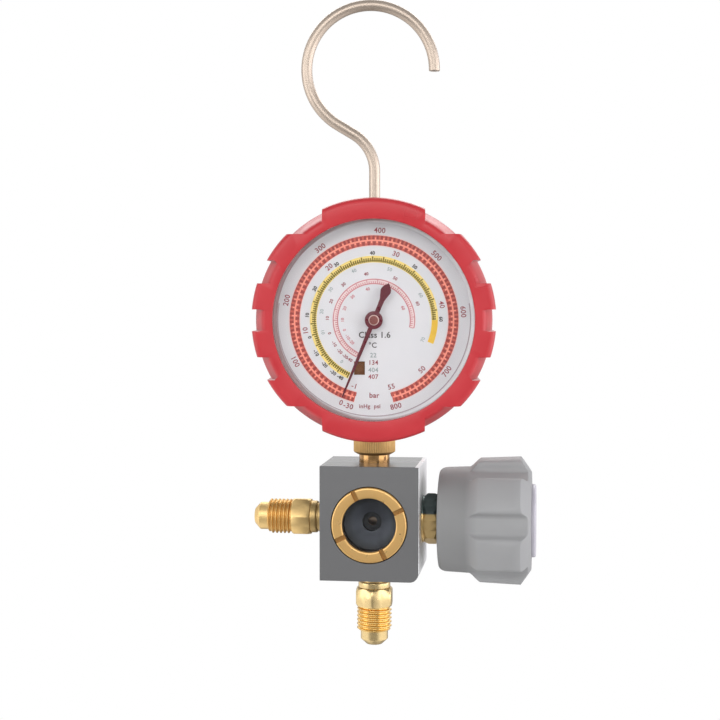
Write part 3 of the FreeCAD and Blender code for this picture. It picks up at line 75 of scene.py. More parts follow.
class Wiring:
    """A node tree, with short calls for its nodes, links and sums."""

    def __init__(self, tree):
        self.tree = tree
        self.nodes = tree.nodes

    def link(self, start, end):
        self.tree.links.new(start, end)

    def feed(self, source, socket):
        """Give a socket another node's output, a number, a vector or a colour."""
        if isinstance(source, bpy.types.NodeSocket):
            self.link(source, socket)
        else:
            socket.default_value = (*source, 1.0) if socket.type == "RGBA" else source

    def node(self, kind, settings=(), **inputs):
        """A node with its settings and inputs; an underscore stands for a space."""
        made = self.nodes.new(kind)
        for name, value in dict(settings).items():
            setattr(made, name, value)
        for name, value in inputs.items():
            self.feed(value, made.inputs[name.replace("_", " ")])
        return made

    def math(self, operation, *terms):
        """One sum of sockets or numbers."""
        made = self.node("ShaderNodeMath", {"operation": operation})
        for socket, term in zip(made.inputs, terms):
            self.feed(term, socket)
        return made.outputs[0]

    def above(self, value, limit):
        """A mask: 1 where the value is over the limit."""
        return self.math("GREATER_THAN", value, limit)

    def below(self, value, limit):
        """A mask: 1 where the value is under the limit."""
        return self.math("LESS_THAN", value, limit)

    def both(self, first, second):
        """A mask: 1 where both masks are 1."""
        return self.math("MULTIPLY", first, second)

    def ramp(self, value, start, end, low=0.0, high=1.0, kind="LINEAR"):
        """A value that runs from low to high while another runs from start to end."""
        made = self.node("ShaderNodeMapRange", {"interpolation_type": kind}, Value=value,
                         From_Min=start, From_Max=end, To_Min=low, To_Max=high)
        return made.outputs["Result"]

    def reach(self, first, second):
        """The distance from an axis, from two coordinates across it."""
        return self.math("SQRT", self.math("ADD", self.math("POWER", first, 2.0),
                                           self.math("POWER", second, 2.0)))

    def parts(self, vector):
        """The x, y and z of a vector."""
        return self.node("ShaderNodeSeparateXYZ", Vector=vector).outputs

    def mixed(self, mask, first, second):
        """Two shaders mixed by a mask."""
        made = self.node("ShaderNodeMixShader", Fac=mask)
        self.link(first, made.inputs[1])
        self.link(second, made.inputs[2])
        return made.outputs["Shader"]


camera_data = bpy.data.cameras.new("product_camera")
camera_data.sensor_width = 36.0
camera_data.lens = camera_focal_pixels / picture_pixels * camera_data.sensor_width
bpy.context.scene.camera = aimed(add_to_scene("product_camera", camera_data), camera_place, camera_aim)


def sweep_paper():
    """Matt paper that shows plain white to the camera and a soft wall with side cards to metal."""
    material = bpy.data.materials.new("sweep_paint")
    material.use_nodes = True
    paper = Wiring(material.node_tree)
    shader = paper.nodes["Principled BSDF"]
    for name, value in (("Base Color", (0.80, 0.80, 0.80)), ("Roughness", 0.9),
                        ("Specular IOR Level", 0.1)):
        paper.feed(value, shader.inputs[name])
    across, back, height = paper.parts(paper.node("ShaderNodeTexCoord").outputs["Object"])
    side = paper.math("ABSOLUTE", across)
    slant = paper.math("DIVIDE", side, paper.math("MAXIMUM", paper.reach(side, back), 0.01))
    side_cards = paper.ramp(slant, 0.45, 0.85, 0.34, 1.10, "SMOOTHSTEP")
    wall_rise = paper.ramp(height, -0.20, 0.02, 0.0, 1.05, "SMOOTHSTEP")
    wall_middle = paper.ramp(side, 0.25, 0.60, 1.0, 0.25, "SMOOTHSTEP")
    mirrored = paper.math("MAXIMUM", side_cards, paper.math("MULTIPLY", wall_rise, wall_middle))
    light = paper.node("ShaderNodeEmission", Strength=mirrored).outputs["Emission"]
    glow = paper.node("ShaderNodeEmission").outputs["Emission"]
    ray = paper.node("ShaderNodeLightPath").outputs
    in_metal = paper.mixed(ray["Is Glossy Ray"], shader.outputs["BSDF"], light)
    paper.link(paper.mixed(ray["Is Camera Ray"], in_metal, glow),
               paper.nodes["Material Output"].inputs["Surface"])
    return material


sweep_profile = [(sweep_near, sweep_floor)]
for step in range(13):
    angle = math.radians(90.0 * step / 12)
    sweep_profile.append((sweep_bend_start + sweep_bend * math.sin(angle),
                          sweep_floor + sweep_bend * (1.0 - math.cos(angle))))
sweep_profile.append((sweep_bend_start + sweep_bend, sweep_top))
sweep_points = [(x, y, z) for y, z in sweep_profile for x in (-sweep_half_width, sweep_half_width)]
sweep_faces = [(2 * row, 2 * row + 1, 2 * row + 3, 2 * row + 2) for row in range(len(sweep_profile) - 1)]
sweep_mesh = bpy.data.meshes.new("studio_sweep")
sweep_mesh.from_pydata(sweep_points, [], sweep_faces)
sweep_mesh.shade_smooth()
sweep_mesh.materials.append(sweep_paper())
add_to_scene("studio_sweep", sweep_mesh)

studio = bpy.data.worlds.new("studio_air")
bpy.context.scene.world = studio
studio.use_nodes = True
air = Wiring(studio.node_tree)
across, back, height = air.parts(air.node("ShaderNodeTexCoord").outputs["Generated"])
sideways = air.math("MULTIPLY_ADD", air.math("POWER", across, 2.0), 0.36, 0.34)
air.feed(air.math("MULTIPLY_ADD", height, 0.10, sideways), air.nodes["Background"].inputs["Strength"])
air.feed((0.97, 0.98, 1.0), air.nodes["Background"].inputs["Color"])


def soft_panel(name, place, aim, width, height, watts, tint=(1.0, 1.0, 1.0)):
    """A rectangular soft light that points at one spot."""
    data = bpy.data.lights.new(name, "AREA")
    data.shape = "RECTANGLE"
    data.size = width
    data.size_y = height
    data.energy = watts
    data.color = tint
    aimed(add_to_scene(name, data), place, aim)


soft_panel("panel_behind", (0.0, 0.68, 0.60), (0.0, 0.0, 0.09), 1.1, 0.36, 3.4)
soft_panel("panel_left", (-0.76, -0.42, 0.14), (0.0, 0.0, 0.08), 0.62, 0.9, 3.2)
soft_panel("panel_right", (0.76, -0.42, 0.10), (0.0, 0.0, 0.06), 0.62, 0.9, 3.4)
soft_panel("panel_front", (-0.10, -1.15, 0.52), (0.0, 0.0, 0.08), 1.3, 0.6, 6.2)
soft_panel("panel_far_right", (0.85, 0.16, 0.10), (0.0, 0.0, 0.05), 0.5, 0.7, 3.0, (0.95, 0.93, 1.0))
bpy.context.scene.view_settings.view_transform = "Standard"


# Valve block: a bar of aluminium, sawn, milled on all sides and drilled through for the ports,
# the valve and the sight glass. The pocket behind the glass is painted dark as painted shade.

block_low, block_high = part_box("valve_block")
cross_height = (block_low.z + block_high.z) / 2.0
sight_height = cross_height - 0.0003
face_skin = 0.0001
front_skin = 0.00005
corner_width = 0.0012
pocket_radius = 0.0095
pocket_front = -0.0095
pocket_back = -0.001
pocket_shade = (0.0060, 0.0078)
well_radius = 0.0031
hole_radius = 0.00145
hole_back = 0.008
block_tone = (0.205, 0.205, 0.208)
# Painted light: the top face, the right front corner and the right side get their own tones for how the
# lamps fall on them.
block_top_painted_light = (0.13, 0.13, 0.132)
block_corner_painted_highlight = (0.80, 0.80, 0.81)
block_side_painted_light = (0.88, 0.88, 0.89)
# Painted shade: the pocket behind the sight glass, its rim, its well and its hole are painted dark.
pocket_painted_shade = (0.040, 0.042, 0.050)
pocket_rim_painted_shadow = (0.006, 0.005, 0.004)
well_painted_shade = (0.0015, 0.0012, 0.001)
hole_painted_shade = (0.10, 0.07, 0.05)


def named_group(name, kind, inputs, outputs):
    """A node group with named sockets: its wiring, what it is given and what it gives."""
    tree = bpy.data.node_groups.new(name, kind)
    for side, sockets in (("INPUT", inputs), ("OUTPUT", outputs)):
        for label, socket_kind in sockets.items():
            tree.interface.new_socket(label, in_out=side, socket_type="NodeSocket" + socket_kind)
    group = Wiring(tree)
    return group, group.node("NodeGroupInput").outputs, group.node("NodeGroupOutput").inputs


def fine_grain_group():
    """Fine random grain: a height for bump and a slow mask for uneven gloss; sizes in millimetres."""
    group, given, result = named_group(
        "fine_grain", "ShaderNodeTree", {"Vector": "Vector", "Grain Size": "Float", "Patch Size": "Float"},
        {"Height": "Float", "Patches": "Float"})
    for size, detail, output in (("Grain Size", 4.0, "Height"), ("Patch Size", 2.0, "Patches")):
        noise = group.node("ShaderNodeTexNoise", Vector=given["Vector"], Detail=detail,
                           Scale=group.math("DIVIDE", 1000.0, given[size]))
        group.link(noise.outputs["Fac"], result[output])
    return group.tree


fine_grain = fine_grain_group()


class Finish(Wiring):
    """A material in the making. Gloss and tones follow the patches of its grain, bump its height."""

    def __init__(self, name, metallic, roughness, tone, grain=None, gloss=None, tones=None, bump=None,
                 stretch=None):
        self.material = bpy.data.materials.new(name)
        self.material.use_nodes = True
        self.material.diffuse_color = (*tone, 1.0)
        super().__init__(self.material.node_tree)
        self.shader = self.nodes["Principled BSDF"]
        self.send(metallic, "Metallic")
        self.send(roughness, "Roughness")
        self.send(tone, "Base Color")
        self.place = self.node("ShaderNodeTexCoord").outputs["Object"]
        vector = self.place
        if stretch:
            vector = self.node("ShaderNodeMapping", Vector=vector, Scale=stretch).outputs["Vector"]
        if grain:
            pattern = self.node("ShaderNodeGroup", {"node_tree": fine_grain}, Grain_Size=grain[0],
                                Patch_Size=grain[1], Vector=vector)
            self.patches = pattern.outputs["Patches"]
        if gloss:
            self.send(self.ramp(self.patches, 0.3, 0.7, *gloss), "Roughness")
        if tones:
            self.send(self.mottled(*tones), "Base Color")
        if bump:
            self.raised(pattern.outputs["Height"], *bump)

    def send(self, value, name):
        """Feed one input of the material's shader."""
        self.feed(value, self.shader.inputs[name])

    def coloured(self, tone):
        """Give the finish its colour and hand over the finished material."""
        self.send(tone, "Base Color")
        return self.material

    def axes(self):
        """The x, y and z of the frame."""
        return self.parts(self.place)

    def blend(self, mask, first, second):
        """Two colours mixed by a mask."""
        made = self.node("ShaderNodeMix", {"data_type": "RGBA"})
        for slot, value in ((0, mask), (6, first), (7, second)):
            self.feed(value, made.inputs[slot])
        return made.outputs[2]

    def mottled(self, first, second):
        """Two colours mixed by the patches of the grain."""
        return self.blend(self.patches, first, second)

    def raised(self, height, distance, strength):
        """Raise the surface by a height pattern, in metres."""
        made = self.node("ShaderNodeBump", Strength=strength, Distance=distance, Height=height)
        self.send(made.outputs["Normal"], "Normal")


def shaded(tone, share):
    """A tone made darker."""
    return tuple(share * part for part in tone)


def milled_aluminium():
    """Satin milled aluminium; painted light on the top, the right side and the right front corner, painted
    shade in the sight glass pocket.
    """
    finish = Finish("milled_aluminium", 0.70, 0.42, block_tone, (0.12, 9.0), bump=(0.00001, 0.6),
                    stretch=(0.06, 1.0, 1.0))
    across, depth, height = finish.axes()
    top = finish.above(height, block_high.z - face_skin)
    side = finish.above(across, block_high.x - face_skin)
    right = finish.both(finish.above(across, block_high.x - corner_width),
                        finish.above(depth, block_low.y + front_skin))
    reach = finish.reach(across, finish.math("SUBTRACT", height, sight_height))
    behind = finish.above(depth, pocket_front)
    near = finish.both(behind, finish.below(depth, pocket_back))
    far = finish.both(behind, finish.below(depth, hole_back))
    pocket = finish.both(near, finish.below(reach, pocket_radius))
    well = finish.both(near, finish.below(reach, well_radius))
    hole = finish.both(far, finish.below(reach, hole_radius))
    # Painted shadow: the pocket turns darker towards its rim.
    inside = finish.blend(finish.ramp(reach, *pocket_shade), pocket_painted_shade, pocket_rim_painted_shadow)
    tone = block_tone
    # Painted light on the top, the right front corner and the right side; painted shade in the pocket, its
    # well and its hole.
    for mask, paint in ((top, block_top_painted_light), (right, block_corner_painted_highlight), (side, block_side_painted_light),
                        (pocket, inside), (well, well_painted_shade), (hole, hole_painted_shade)):
        tone = finish.blend(mask, tone, paint)
    finish.send(tone, "Base Color")
    polish = finish.math("SUBTRACT", 1.0, finish.math("MULTIPLY", top, 0.34))
    uneven = finish.math("MULTIPLY_ADD", finish.patches, 0.09, 0.38)
    finish.send(finish.math("MULTIPLY", polish, uneven), "Roughness")
    metal = finish.math("SUBTRACT", 0.70, finish.math("MULTIPLY", right, 0.30))
    finish.send(finish.math("MULTIPLY", metal, finish.math("SUBTRACT", 1.0, pocket)), "Metallic")
    return finish.material


def paint_nodes(material, *names):
    """Give CAD nodes their material."""
    for name in names:
        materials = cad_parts[name].data.materials
        materials.clear()
        materials.append(material)


paint_nodes(milled_aluminium(), "valve_block")


# Flare ports: two brass nipples turned from hexagon bar, with a 7/16-20 thread and a 45 degree
# flare nose. They are screwed into the block against a thin collar and sealed by a ring.

thread_pitch = 1.27
thread_depth = 0.66
thread_radius = 5.54
thread_start = 10.2
thread_end = 18.0
thread_samples = 14
thread_turns = 84
port_hex_width = 11.11
port_hex_start = 4.4
port_hex_end = 10.3
port_bore_radius = 1.98
brass_tone = (0.80, 0.58, 0.28)
brass_dark = (0.64, 0.42, 0.17)


def lathe_marks_group():
    """Irregular fine rings along a turned piece: a height for bump; the pitch is in millimetres."""
    group, given, result = named_group(
        "lathe_marks", "ShaderNodeTree", {"Along": "Float", "Ring Pitch": "Float"}, {"Height": "Float"})
    rings = group.node("ShaderNodeTexNoise", {"noise_dimensions": "1D"}, W=given["Along"], Detail=3.0,
                       Scale=group.math("DIVIDE", 1000.0, given["Ring Pitch"]))
    group.link(rings.outputs["Fac"], result["Height"])
    return group.tree


lathe_marks = lathe_marks_group()


def lathe_rings(finish, along, depth, strength):
    """Fine rings on a finish, set out along a coordinate."""
    rings = finish.node("ShaderNodeGroup", {"node_tree": lathe_marks}, Along=along, Ring_Pitch=0.08)
    finish.raised(rings.outputs["Height"], depth, strength)


def turned_metal(name, tone, dark, roughness, along="Z", depth=0.000002):
    """Bright turned metal with rings along one axis of the frame and patches of tarnish."""
    finish = Finish(name, 1.0, roughness, tone, (0.5, 3.0), (roughness - 0.05, roughness + 0.08))
    tarnish = finish.ramp(finish.patches, 0.48, 0.72, 0.0, 0.55)
    finish.send(finish.blend(tarnish, tone, dark), "Base Color")
    lathe_rings(finish, finish.axes()[along], depth, 0.8)
    return finish.material


def port_brass(name, tone, thread_tone, roughness, along, thread_ends, painted_shade_ends):
    """Brass of a flare port, warmer on the thread, with painted shade darkening it by the block; places in
    metres.
    """
    finish = Finish(name, 0.92, roughness, tone, (0.5, 3.0), (roughness - 0.04, roughness + 0.06))
    place = finish.axes()[along]
    thread = finish.both(finish.above(place, thread_ends[0]), finish.below(place, thread_ends[1]))
    plain = finish.mottled(tone, shaded(tone, 0.90))
    # Painted shade: the brass darkens towards the block's face.
    plain = finish.blend(finish.ramp(place, *painted_shade_ends), plain, shaded(tone, 0.55))
    finish.send(finish.blend(thread, plain, thread_tone), "Base Color")
    lathe_rings(finish, place, 0.0000015, 0.6)
    return finish.material


def round_the_stem(radius, angle, height):
    """A point on a piece turned round the stem, in millimetres."""
    return (radius * math.cos(angle), radius * math.sin(angle), height)


def leftwards(radius, angle, height):
    """A point on a piece turned round the left port's axis; height runs out to the left."""
    return (-height, radius * math.cos(angle), radius * math.sin(angle) + cross_height * 1000.0)


def rightwards(radius, angle, height):
    """A point on a piece turned round the valve's axis; height runs out to the right."""
    return (height, -radius * math.cos(angle), radius * math.sin(angle) + cross_height * 1000.0)


def downwards(radius, angle, height):
    """A point on a piece turned round the stem, with height running down."""
    return (radius * math.cos(angle), radius * math.sin(angle), -height)


def full_turn(steps):
    """The angles of a whole turn, in equal steps."""
    return [2 * math.pi * step / steps for step in range(steps)]


def curve_round(corner, start, end, steps):
    """Points of a curve from start to end that bends towards the corner."""
    shares = [step / steps for step in range(steps + 1)]
    return [(1 - share) ** 2 * start + 2 * share * (1 - share) * corner + share ** 2 * end
            for share in shares]


def eased(profile, radius, steps=3):
    """Round the inner corners of a profile of (radius, height) points."""
    result = [profile[0]]
    for before, corner, after in zip(profile, profile[1:], profile[2:]):
        corner = Vector(corner)
        first = Vector(before) - corner
        second = Vector(after) - corner
        cut = min(radius, first.length * 0.45, second.length * 0.45)
        result += [tuple(point) for point in curve_round(corner, corner + first.normalized() * cut,
                                                         corner + second.normalized() * cut, steps)]
    return result + [profile[-1]]


class Shell:
    """A mesh in the making, in millimetres."""

    def __init__(self):
        self.mesh = bmesh.new()

    def rows(self, rows, closed_rows=False, caps=False):
        """Skin a list of closed rings of points; rings of no size become poles."""
        grid = [[self.mesh.verts.new(point) for point in row] for row in rows]
        pairs = list(zip(grid, grid[1:]))
        if closed_rows:
            pairs.append((grid[-1], grid[0]))
        for first, second in pairs:
            for index in range(len(first)):
                after = (index + 1) % len(first)
                self.mesh.faces.new((first[index], first[after], second[after], second[index]))
        if caps:
            self.mesh.faces.new(list(reversed(grid[0])))
            self.mesh.faces.new(grid[-1])
        return self

    def turned(self, profile, place, steps=96, closed=False):
        """A profile of (radius, height) points turned round an axis."""
        turns = full_turn(steps)
        return self.rows([[place(radius, turn, height) for turn in turns] for radius, height in profile],
                         closed_rows=closed)

    def hexagon(self, width, start, end, turn, place, chamfer, steps=16):
        """A hexagon nut body with turned chamfers at both ends and slightly broken corners."""
        flat = width / 2.0
        corner = width / math.sqrt(3.0)
        sixth = math.radians(60.0)
        angles = [turn + sixth * (side + step / steps) for side in range(6) for step in range(steps)]
        radii = [min(flat / math.cos((angle - turn) % sixth - sixth / 2), corner - 0.03)
                 for angle in angles]
        slope = chamfer / (corner - flat)
        rows = [[place(flat * share, angle, start) for angle in angles] for share in (0.0, 0.55, 1.0)]
        for end_face, inwards in ((start, 1.0), (end, -1.0)):
            rows.append([place(radius, angle, end_face + inwards * ((radius - flat) * slope + 0.04))
                         for radius, angle in zip(radii, angles)])
        rows += [[place(flat * share, angle, end) for angle in angles] for share in (1.0, 0.55, 0.0)]
        return self.rows(rows)

    def piece(self, name, material, smooth_deg=35.0, shape=None):
        """Close, clean and turn the shell into a scene object in metres."""
        if shape is not None:
            bmesh.ops.transform(self.mesh, matrix=shape, verts=self.mesh.verts)
        bmesh.ops.remove_doubles(self.mesh, verts=self.mesh.verts, dist=0.0008)
        bmesh.ops.dissolve_degenerate(self.mesh, edges=self.mesh.edges, dist=0.0004)
        bmesh.ops.recalc_face_normals(self.mesh, faces=self.mesh.faces)
        bmesh.ops.scale(self.mesh, vec=(0.001, 0.001, 0.001), verts=self.mesh.verts)
        data = bpy.data.meshes.new(name)
        self.mesh.to_mesh(data)
        self.mesh.free()
        data.materials.append(material)
        data.shade_smooth()
        data.set_sharp_from_angle(angle=math.radians(smooth_deg))
        return add_to_scene(name, data)


def flare_port(name, place, face, hex_turn, material):
    """One flare nipple; face is the distance of the block's face from the axis crossing."""
    shell = Shell()
    collar = [
        (0.0, face - 1.0), (4.85, face - 1.0), (4.85, face + 1.8), (4.4, face + 1.8), (4.4, face + 2.3),
        (4.95, face + 2.3), (5.1, face + 2.7), (5.1, face + port_hex_start), (0.0, face + port_hex_start)]
    shell.turned(eased(collar, 0.15), place)
    shell.hexagon(port_hex_width, face + port_hex_start, face + port_hex_end, hex_turn, place, 1.05)
    start = face + thread_start
    end = face + thread_end
    samples = int((end - start) / thread_pitch * thread_samples)
    angles = full_turn(thread_turns)
    rows = [[place(0.0, angle, start) for angle in angles]]
    for sample in range(samples + 1):
        along = start + (end - start) * sample / samples
        fade = max(0.0, min(1.0, (along - start) / 0.9, (end - along) / 0.5))
        row = []
        for angle in angles:
            phase = (along / thread_pitch - angle / (2 * math.pi)) % 1.0
            ridge = max(0.0, min(1.0, (abs(phase - 0.5) * 2.0 - 0.1) / 0.8))
            depth = thread_depth * (1.0 - ridge * ridge * (3 - 2 * ridge) * fade)
            row.append(place(thread_radius - depth, angle, along))
        rows.append(row)
    nose = [(thread_radius - thread_depth, end), (4.35, end), (4.35, end + 2.85), (2.45, end + 4.58),
            (2.1, end + 4.6), (port_bore_radius, end + 4.4), (port_bore_radius, end + 1.0),
            (0.0, end + 1.0)]
    rows += [[place(radius, angle, height) for angle in angles] for radius, height in eased(nose, 0.18)]
    shell.rows(rows)
    made = shell.piece(name + "_turned", material, 50.0)
    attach(made, "gauge_and_block")
    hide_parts(name)


flare_port("bottom_port", downwards, -block_low.z * 1000.0, math.radians(90.0),
           port_brass("brass_bottom_port", (0.84, 0.63, 0.31), (0.86, 0.57, 0.20), 0.27, "Z",
                      (-0.0079, 0.0001), (0.0080, 0.0098)))
flare_port("left_port", leftwards, -block_low.x * 1000.0 + 0.4, math.radians(54.0),
           port_brass("brass_left_port", (0.88, 0.62, 0.27), (0.74, 0.46, 0.16), 0.44, "X",
                      (-0.0340, -0.0261), (-0.0204, -0.0196)))


# Sight glass: a thick round window under a brass ring with four spanner notches, screwed into
# the front of the block, so that the flow of refrigerant can be watched.

ring_outer = 11.78
ring_inner = 8.37
ring_front = -15.08
ring_back = -12.0
notch_floor = -13.8
notch_half_width = 0.75
notch_turn = math.radians(26.0)
notch_shade_start = -0.0145
bore_shade_radius = 0.00842
bore_shade_start = -0.0143


def frontwards(radius, angle, height):
    """A point on a piece turned round the sight glass; height runs back from the front."""
    return (radius * math.sin(angle), height, radius * math.cos(angle) + sight_height * 1000.0)


def notched_brass():
    """Faced brass, with painted shade on the floors of the notches and in the bore."""
    finish = Finish("brass_turned_front", 0.65, 0.36, brass_tone, (0.5, 3.0), (0.26, 0.36))
    across, depth, height = finish.axes()
    reach = finish.reach(across, finish.math("SUBTRACT", height, sight_height))
    faced = finish.mottled((0.80, 0.51, 0.20), (0.72, 0.42, 0.14))
    # Painted shade on the notch floors and, below, in the bore.
    faced = finish.blend(finish.above(depth, notch_shade_start), faced, (0.50, 0.26, 0.08))
    bore = finish.both(finish.below(reach, bore_shade_radius), finish.above(depth, bore_shade_start))
    finish.send(finish.blend(bore, faced, (0.10, 0.06, 0.03)), "Base Color")
    lathe_rings(finish, reach, 0.0000008, 0.5)
    return finish.material


def sight_ring():
    """The notched ring: a whole ring below, and four raised segments above it."""
    shell = Shell()
    base = [(ring_outer, ring_back), (ring_outer, notch_floor), (ring_inner, notch_floor),
            (ring_inner, ring_back)]
    shell.turned(base, frontwards, 144, closed=True)
    section = eased([(ring_outer, notch_floor + 0.3), (ring_outer, ring_front),
                     (ring_inner, ring_front), (ring_inner, notch_floor + 0.3)], 0.7, 6)
    for quarter in range(4):
        first = -notch_turn + quarter * math.pi / 2
        rows = []
        for step in range(37):
            row = []
            for radius, height in section:
                notch = math.asin(notch_half_width / radius)
                angle = first + notch + (math.pi / 2 - 2 * notch) * step / 36
                row.append(frontwards(radius, angle, height))
            rows.append(row)
        shell.rows(rows, caps=True)
    return shell.piece("sight_ring_turned", notched_brass(), 40.0)


sight_ring_piece = sight_ring()
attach(sight_ring_piece, "gauge_and_block")
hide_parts("sight_ring")


def clear_glass(name, tone, roughness):
    """Clear glass that lets light through to what lies behind it."""
    finish = Finish(name, 0.0, roughness, tone)
    finish.send(1.0, "Transmission Weight")
    finish.send(1.25, "IOR")
    open_way = finish.node("ShaderNodeBsdfTransparent").outputs["BSDF"]
    in_shadow = finish.node("ShaderNodeLightPath").outputs["Is Shadow Ray"]
    finish.link(finish.mixed(in_shadow, finish.shader.outputs["BSDF"], open_way),
                finish.nodes["Material Output"].inputs["Surface"])
    return finish.material


paint_nodes(clear_glass("sight_window_glass", (0.93, 0.96, 1.0), 0.02), "sight_lens")


# Valve bonnet: a brass hexagon with a round flange, screwed into the right side of the block.
# The stem turns in it, and a gland nut inside it presses on the packing.

bonnet_end = 20.6
bonnet_flange_radius = 7.38
bonnet_flange = 0.7
bonnet_hex_width = 14.6
# Painted reflection: the heights over which the bonnet's upper side turns dark.
bonnet_painted_reflection_heights = (0.0304, 0.0309)


def bonnet_brass():
    """Brass of the bonnet, with a dark painted reflection on its upper side."""
    finish = Finish("brass_bonnet", 0.9, 0.38, brass_tone, (0.6, 3.0), (0.34, 0.46), bump=(0.000004, 0.6))
    plain = finish.mottled((0.90, 0.64, 0.27), (0.72, 0.52, 0.25))
    # A dark painted reflection on the upper side.
    painted_reflection = finish.ramp(finish.axes()["Z"], *bonnet_painted_reflection_heights)
    return finish.coloured(finish.blend(painted_reflection, plain, (0.11, 0.14, 0.135)))


bonnet_face = block_high.x * 1000.0
flange_profile = [(0.0, bonnet_face), (bonnet_flange_radius, bonnet_face),
                  (bonnet_flange_radius, bonnet_face + bonnet_flange), (0.0, bonnet_face + bonnet_flange)]
bonnet_shell = Shell().turned(eased(flange_profile, 0.12), rightwards)
bonnet_shell.hexagon(bonnet_hex_width, bonnet_face + bonnet_flange, bonnet_end, math.radians(21.0),
                     rightwards, 1.1)
bonnet_piece = bonnet_shell.piece("bonnet_turned", bonnet_brass(), 40.0)
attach(bonnet_piece, "gauge_and_block")
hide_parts("bonnet")
paint_nodes(turned_metal("brass_turned_sideways", brass_tone, brass_dark, 0.30, "X"), "gland_nut")


# Knob: moulded grey plastic with a round skirt and six grip lobes, hollow behind, with a
# smooth cap over its screw. It turns the valve stem.

knob_base_rear = 16.5
knob_base_front = 16.8
knob_lobe_rear = 19.6
knob_lobe_radius = 20.15
knob_lobe_half = math.radians(17.5)
knob_turn = math.radians(32.0)
knob_back = 20.96
knob_floor = 25.4
skirt_round = 2.9
lobe_start = 30.5
lobe_full = 33.9
bevel_start = 46.5
bevel_end = 49.8
bevel_drop = 4.65
knob_face = 49.89
cap_radius = 11.5


def knob_section():
    """The knob's lobed outline as (radius, angle) points, with rounded flanks."""
    foot = math.asin((knob_lobe_radius * math.sin(knob_lobe_half) - 0.25) / knob_base_front)
    gap = math.pi / 3 - 2 * foot
    # Each corner is (radius, angle from the lobe's middle, how far it is rounded).
    lobe = [(knob_base_front, -foot, 1.7), (knob_lobe_radius, -knob_lobe_half, 2.2),
            (knob_lobe_radius, -0.3 * knob_lobe_half, 0.0), (knob_lobe_radius, 0.3 * knob_lobe_half, 0.0),
            (knob_lobe_radius, knob_lobe_half, 2.2), (knob_base_front, foot, 1.7),
            (knob_base_front, foot + 0.35 * gap, 0.0), (knob_base_front, foot + 0.65 * gap, 0.0)]
    corners = []
    for turn in full_turn(6):
        for radius, angle, rounding in lobe:
            middle = knob_turn + turn + angle
            corners.append((Vector((radius * math.cos(middle), radius * math.sin(middle))), rounding))
    points = []
    for index, (corner, rounding) in enumerate(corners):
        if rounding == 0.0:
            points.append(corner)
            continue
        before = corners[index - 1][0] - corner
        after = corners[(index + 1) % len(corners)][0] - corner
        points += curve_round(corner, corner + before.normalized() * min(rounding, before.length * 0.48),
                              corner + after.normalized() * min(rounding, after.length * 0.48), 6)
    return [(point.length, math.atan2(point.y, point.x)) for point in points]


def knob():
    """The knob's skin: the hollow in its back, the skirt, the lobes and the front bevel."""
    # Each ring is (height, base radius, limit of the lobes); the outline is held between the two.
    rings = [(knob_floor, 0.0, 0.0), (knob_floor, 13.7, 0.0), (21.6, 14.2, 0.0), (21.1, 14.35, 0.0),
             (knob_back, 14.7, 0.0)]
    for step in range(9):
        angle = math.radians(90.0 * step / 8)
        rings.append((knob_back + skirt_round * (1 - math.cos(angle)),
                      knob_base_rear - 1.5 * (1 - math.sin(angle)), 0.0))
    skirt_start = knob_back + skirt_round
    for step in range(1, 6):
        share = step / 6
        rings.append((skirt_start + 6.6 * share,
                      knob_base_rear + (knob_base_front - knob_base_rear) * share, 0.0))
    for step in range(13):
        share = step / 12
        rise = share * share * (3 - 2 * share) * 0.45 + share * 0.55
        rings.append((lobe_start + (lobe_full - lobe_start) * share, knob_base_front,
                      knob_base_front + (knob_lobe_rear - knob_base_front) * rise))
    for step in range(1, 6):
        share = step / 5
        rings.append((lobe_full + (bevel_start - lobe_full) * share, knob_base_front,
                      knob_lobe_rear + (knob_lobe_radius - knob_lobe_rear) * share))
    for step in range(1, 17):
        share = step / 16
        limit = knob_lobe_radius - bevel_drop * share ** 1.08
        rings.append((bevel_start + (bevel_end - bevel_start) * share, min(knob_base_front, limit), limit))
    rings += [(knob_face, 15.2, 0.0), (knob_face, 0.0, 0.0)]
    section = knob_section()
    rows = [[rightwards(min(max(radius, base), max(lobe, base)), angle, height)
             for radius, angle in section] for height, base, lobe in rings]
    return Shell().rows(rows).piece("knob_moulded", knob_plastic, 50.0)


def moulded_plastic(name, tone, gloss, grain_depth, skirt_end=None):
    """Satin moulded plastic with a fine grain and uneven gloss, and painted shade darkening the skirt."""
    finish = Finish(name, 0.0, gloss[0], tone, (0.25, 8.0), gloss, bump=(grain_depth, 0.7))
    red, green, blue = tone
    mottled = finish.mottled((red * 0.93, green * 0.93, blue * 0.94),
                             (red * 1.07, green * 1.07, blue * 1.08))
    if skirt_end:
        # Painted shade: the skirt behind the lobes is darkened.
        skirt_painted_shade = finish.ramp(finish.axes()["X"], skirt_end - 0.003, skirt_end + 0.001)
        mottled = finish.blend(skirt_painted_shade, shaded(tone, 0.72), mottled)
    return finish.coloured(mottled)


knob_plastic = moulded_plastic("knob_plastic", (0.30, 0.30, 0.30), (0.50, 0.60), 0.000006, 0.0325)
knob_piece = knob()
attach(knob_piece, "knob_group")
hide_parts("knob")

cap_plastic = moulded_plastic("knob_cap_plastic", (0.50, 0.48, 0.53), (0.34, 0.42), 0.000008)
cap_profile = [(0.0, 49.5), (cap_radius, 49.5), (cap_radius, 51.25), (0.0, 51.28)]
cap_shell = Shell().turned(eased(cap_profile, 0.8, 5), rightwards)
cap_piece = cap_shell.piece("knob_cap_moulded", cap_plastic, 40.0)
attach(cap_piece, "knob_group")
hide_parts("knob_cap")


# Neck and union collar: a turned brass neck stands in the top of the block, and a round collar
# with a fine straight knurl draws the gauge's stem down on it.

neck_radius = 4.85
neck_rise = 3.1
neck_sunk = 2.0
knurl_count = 60
knurl_depth = 0.20
crest_start = (0.00642, 0.00663)

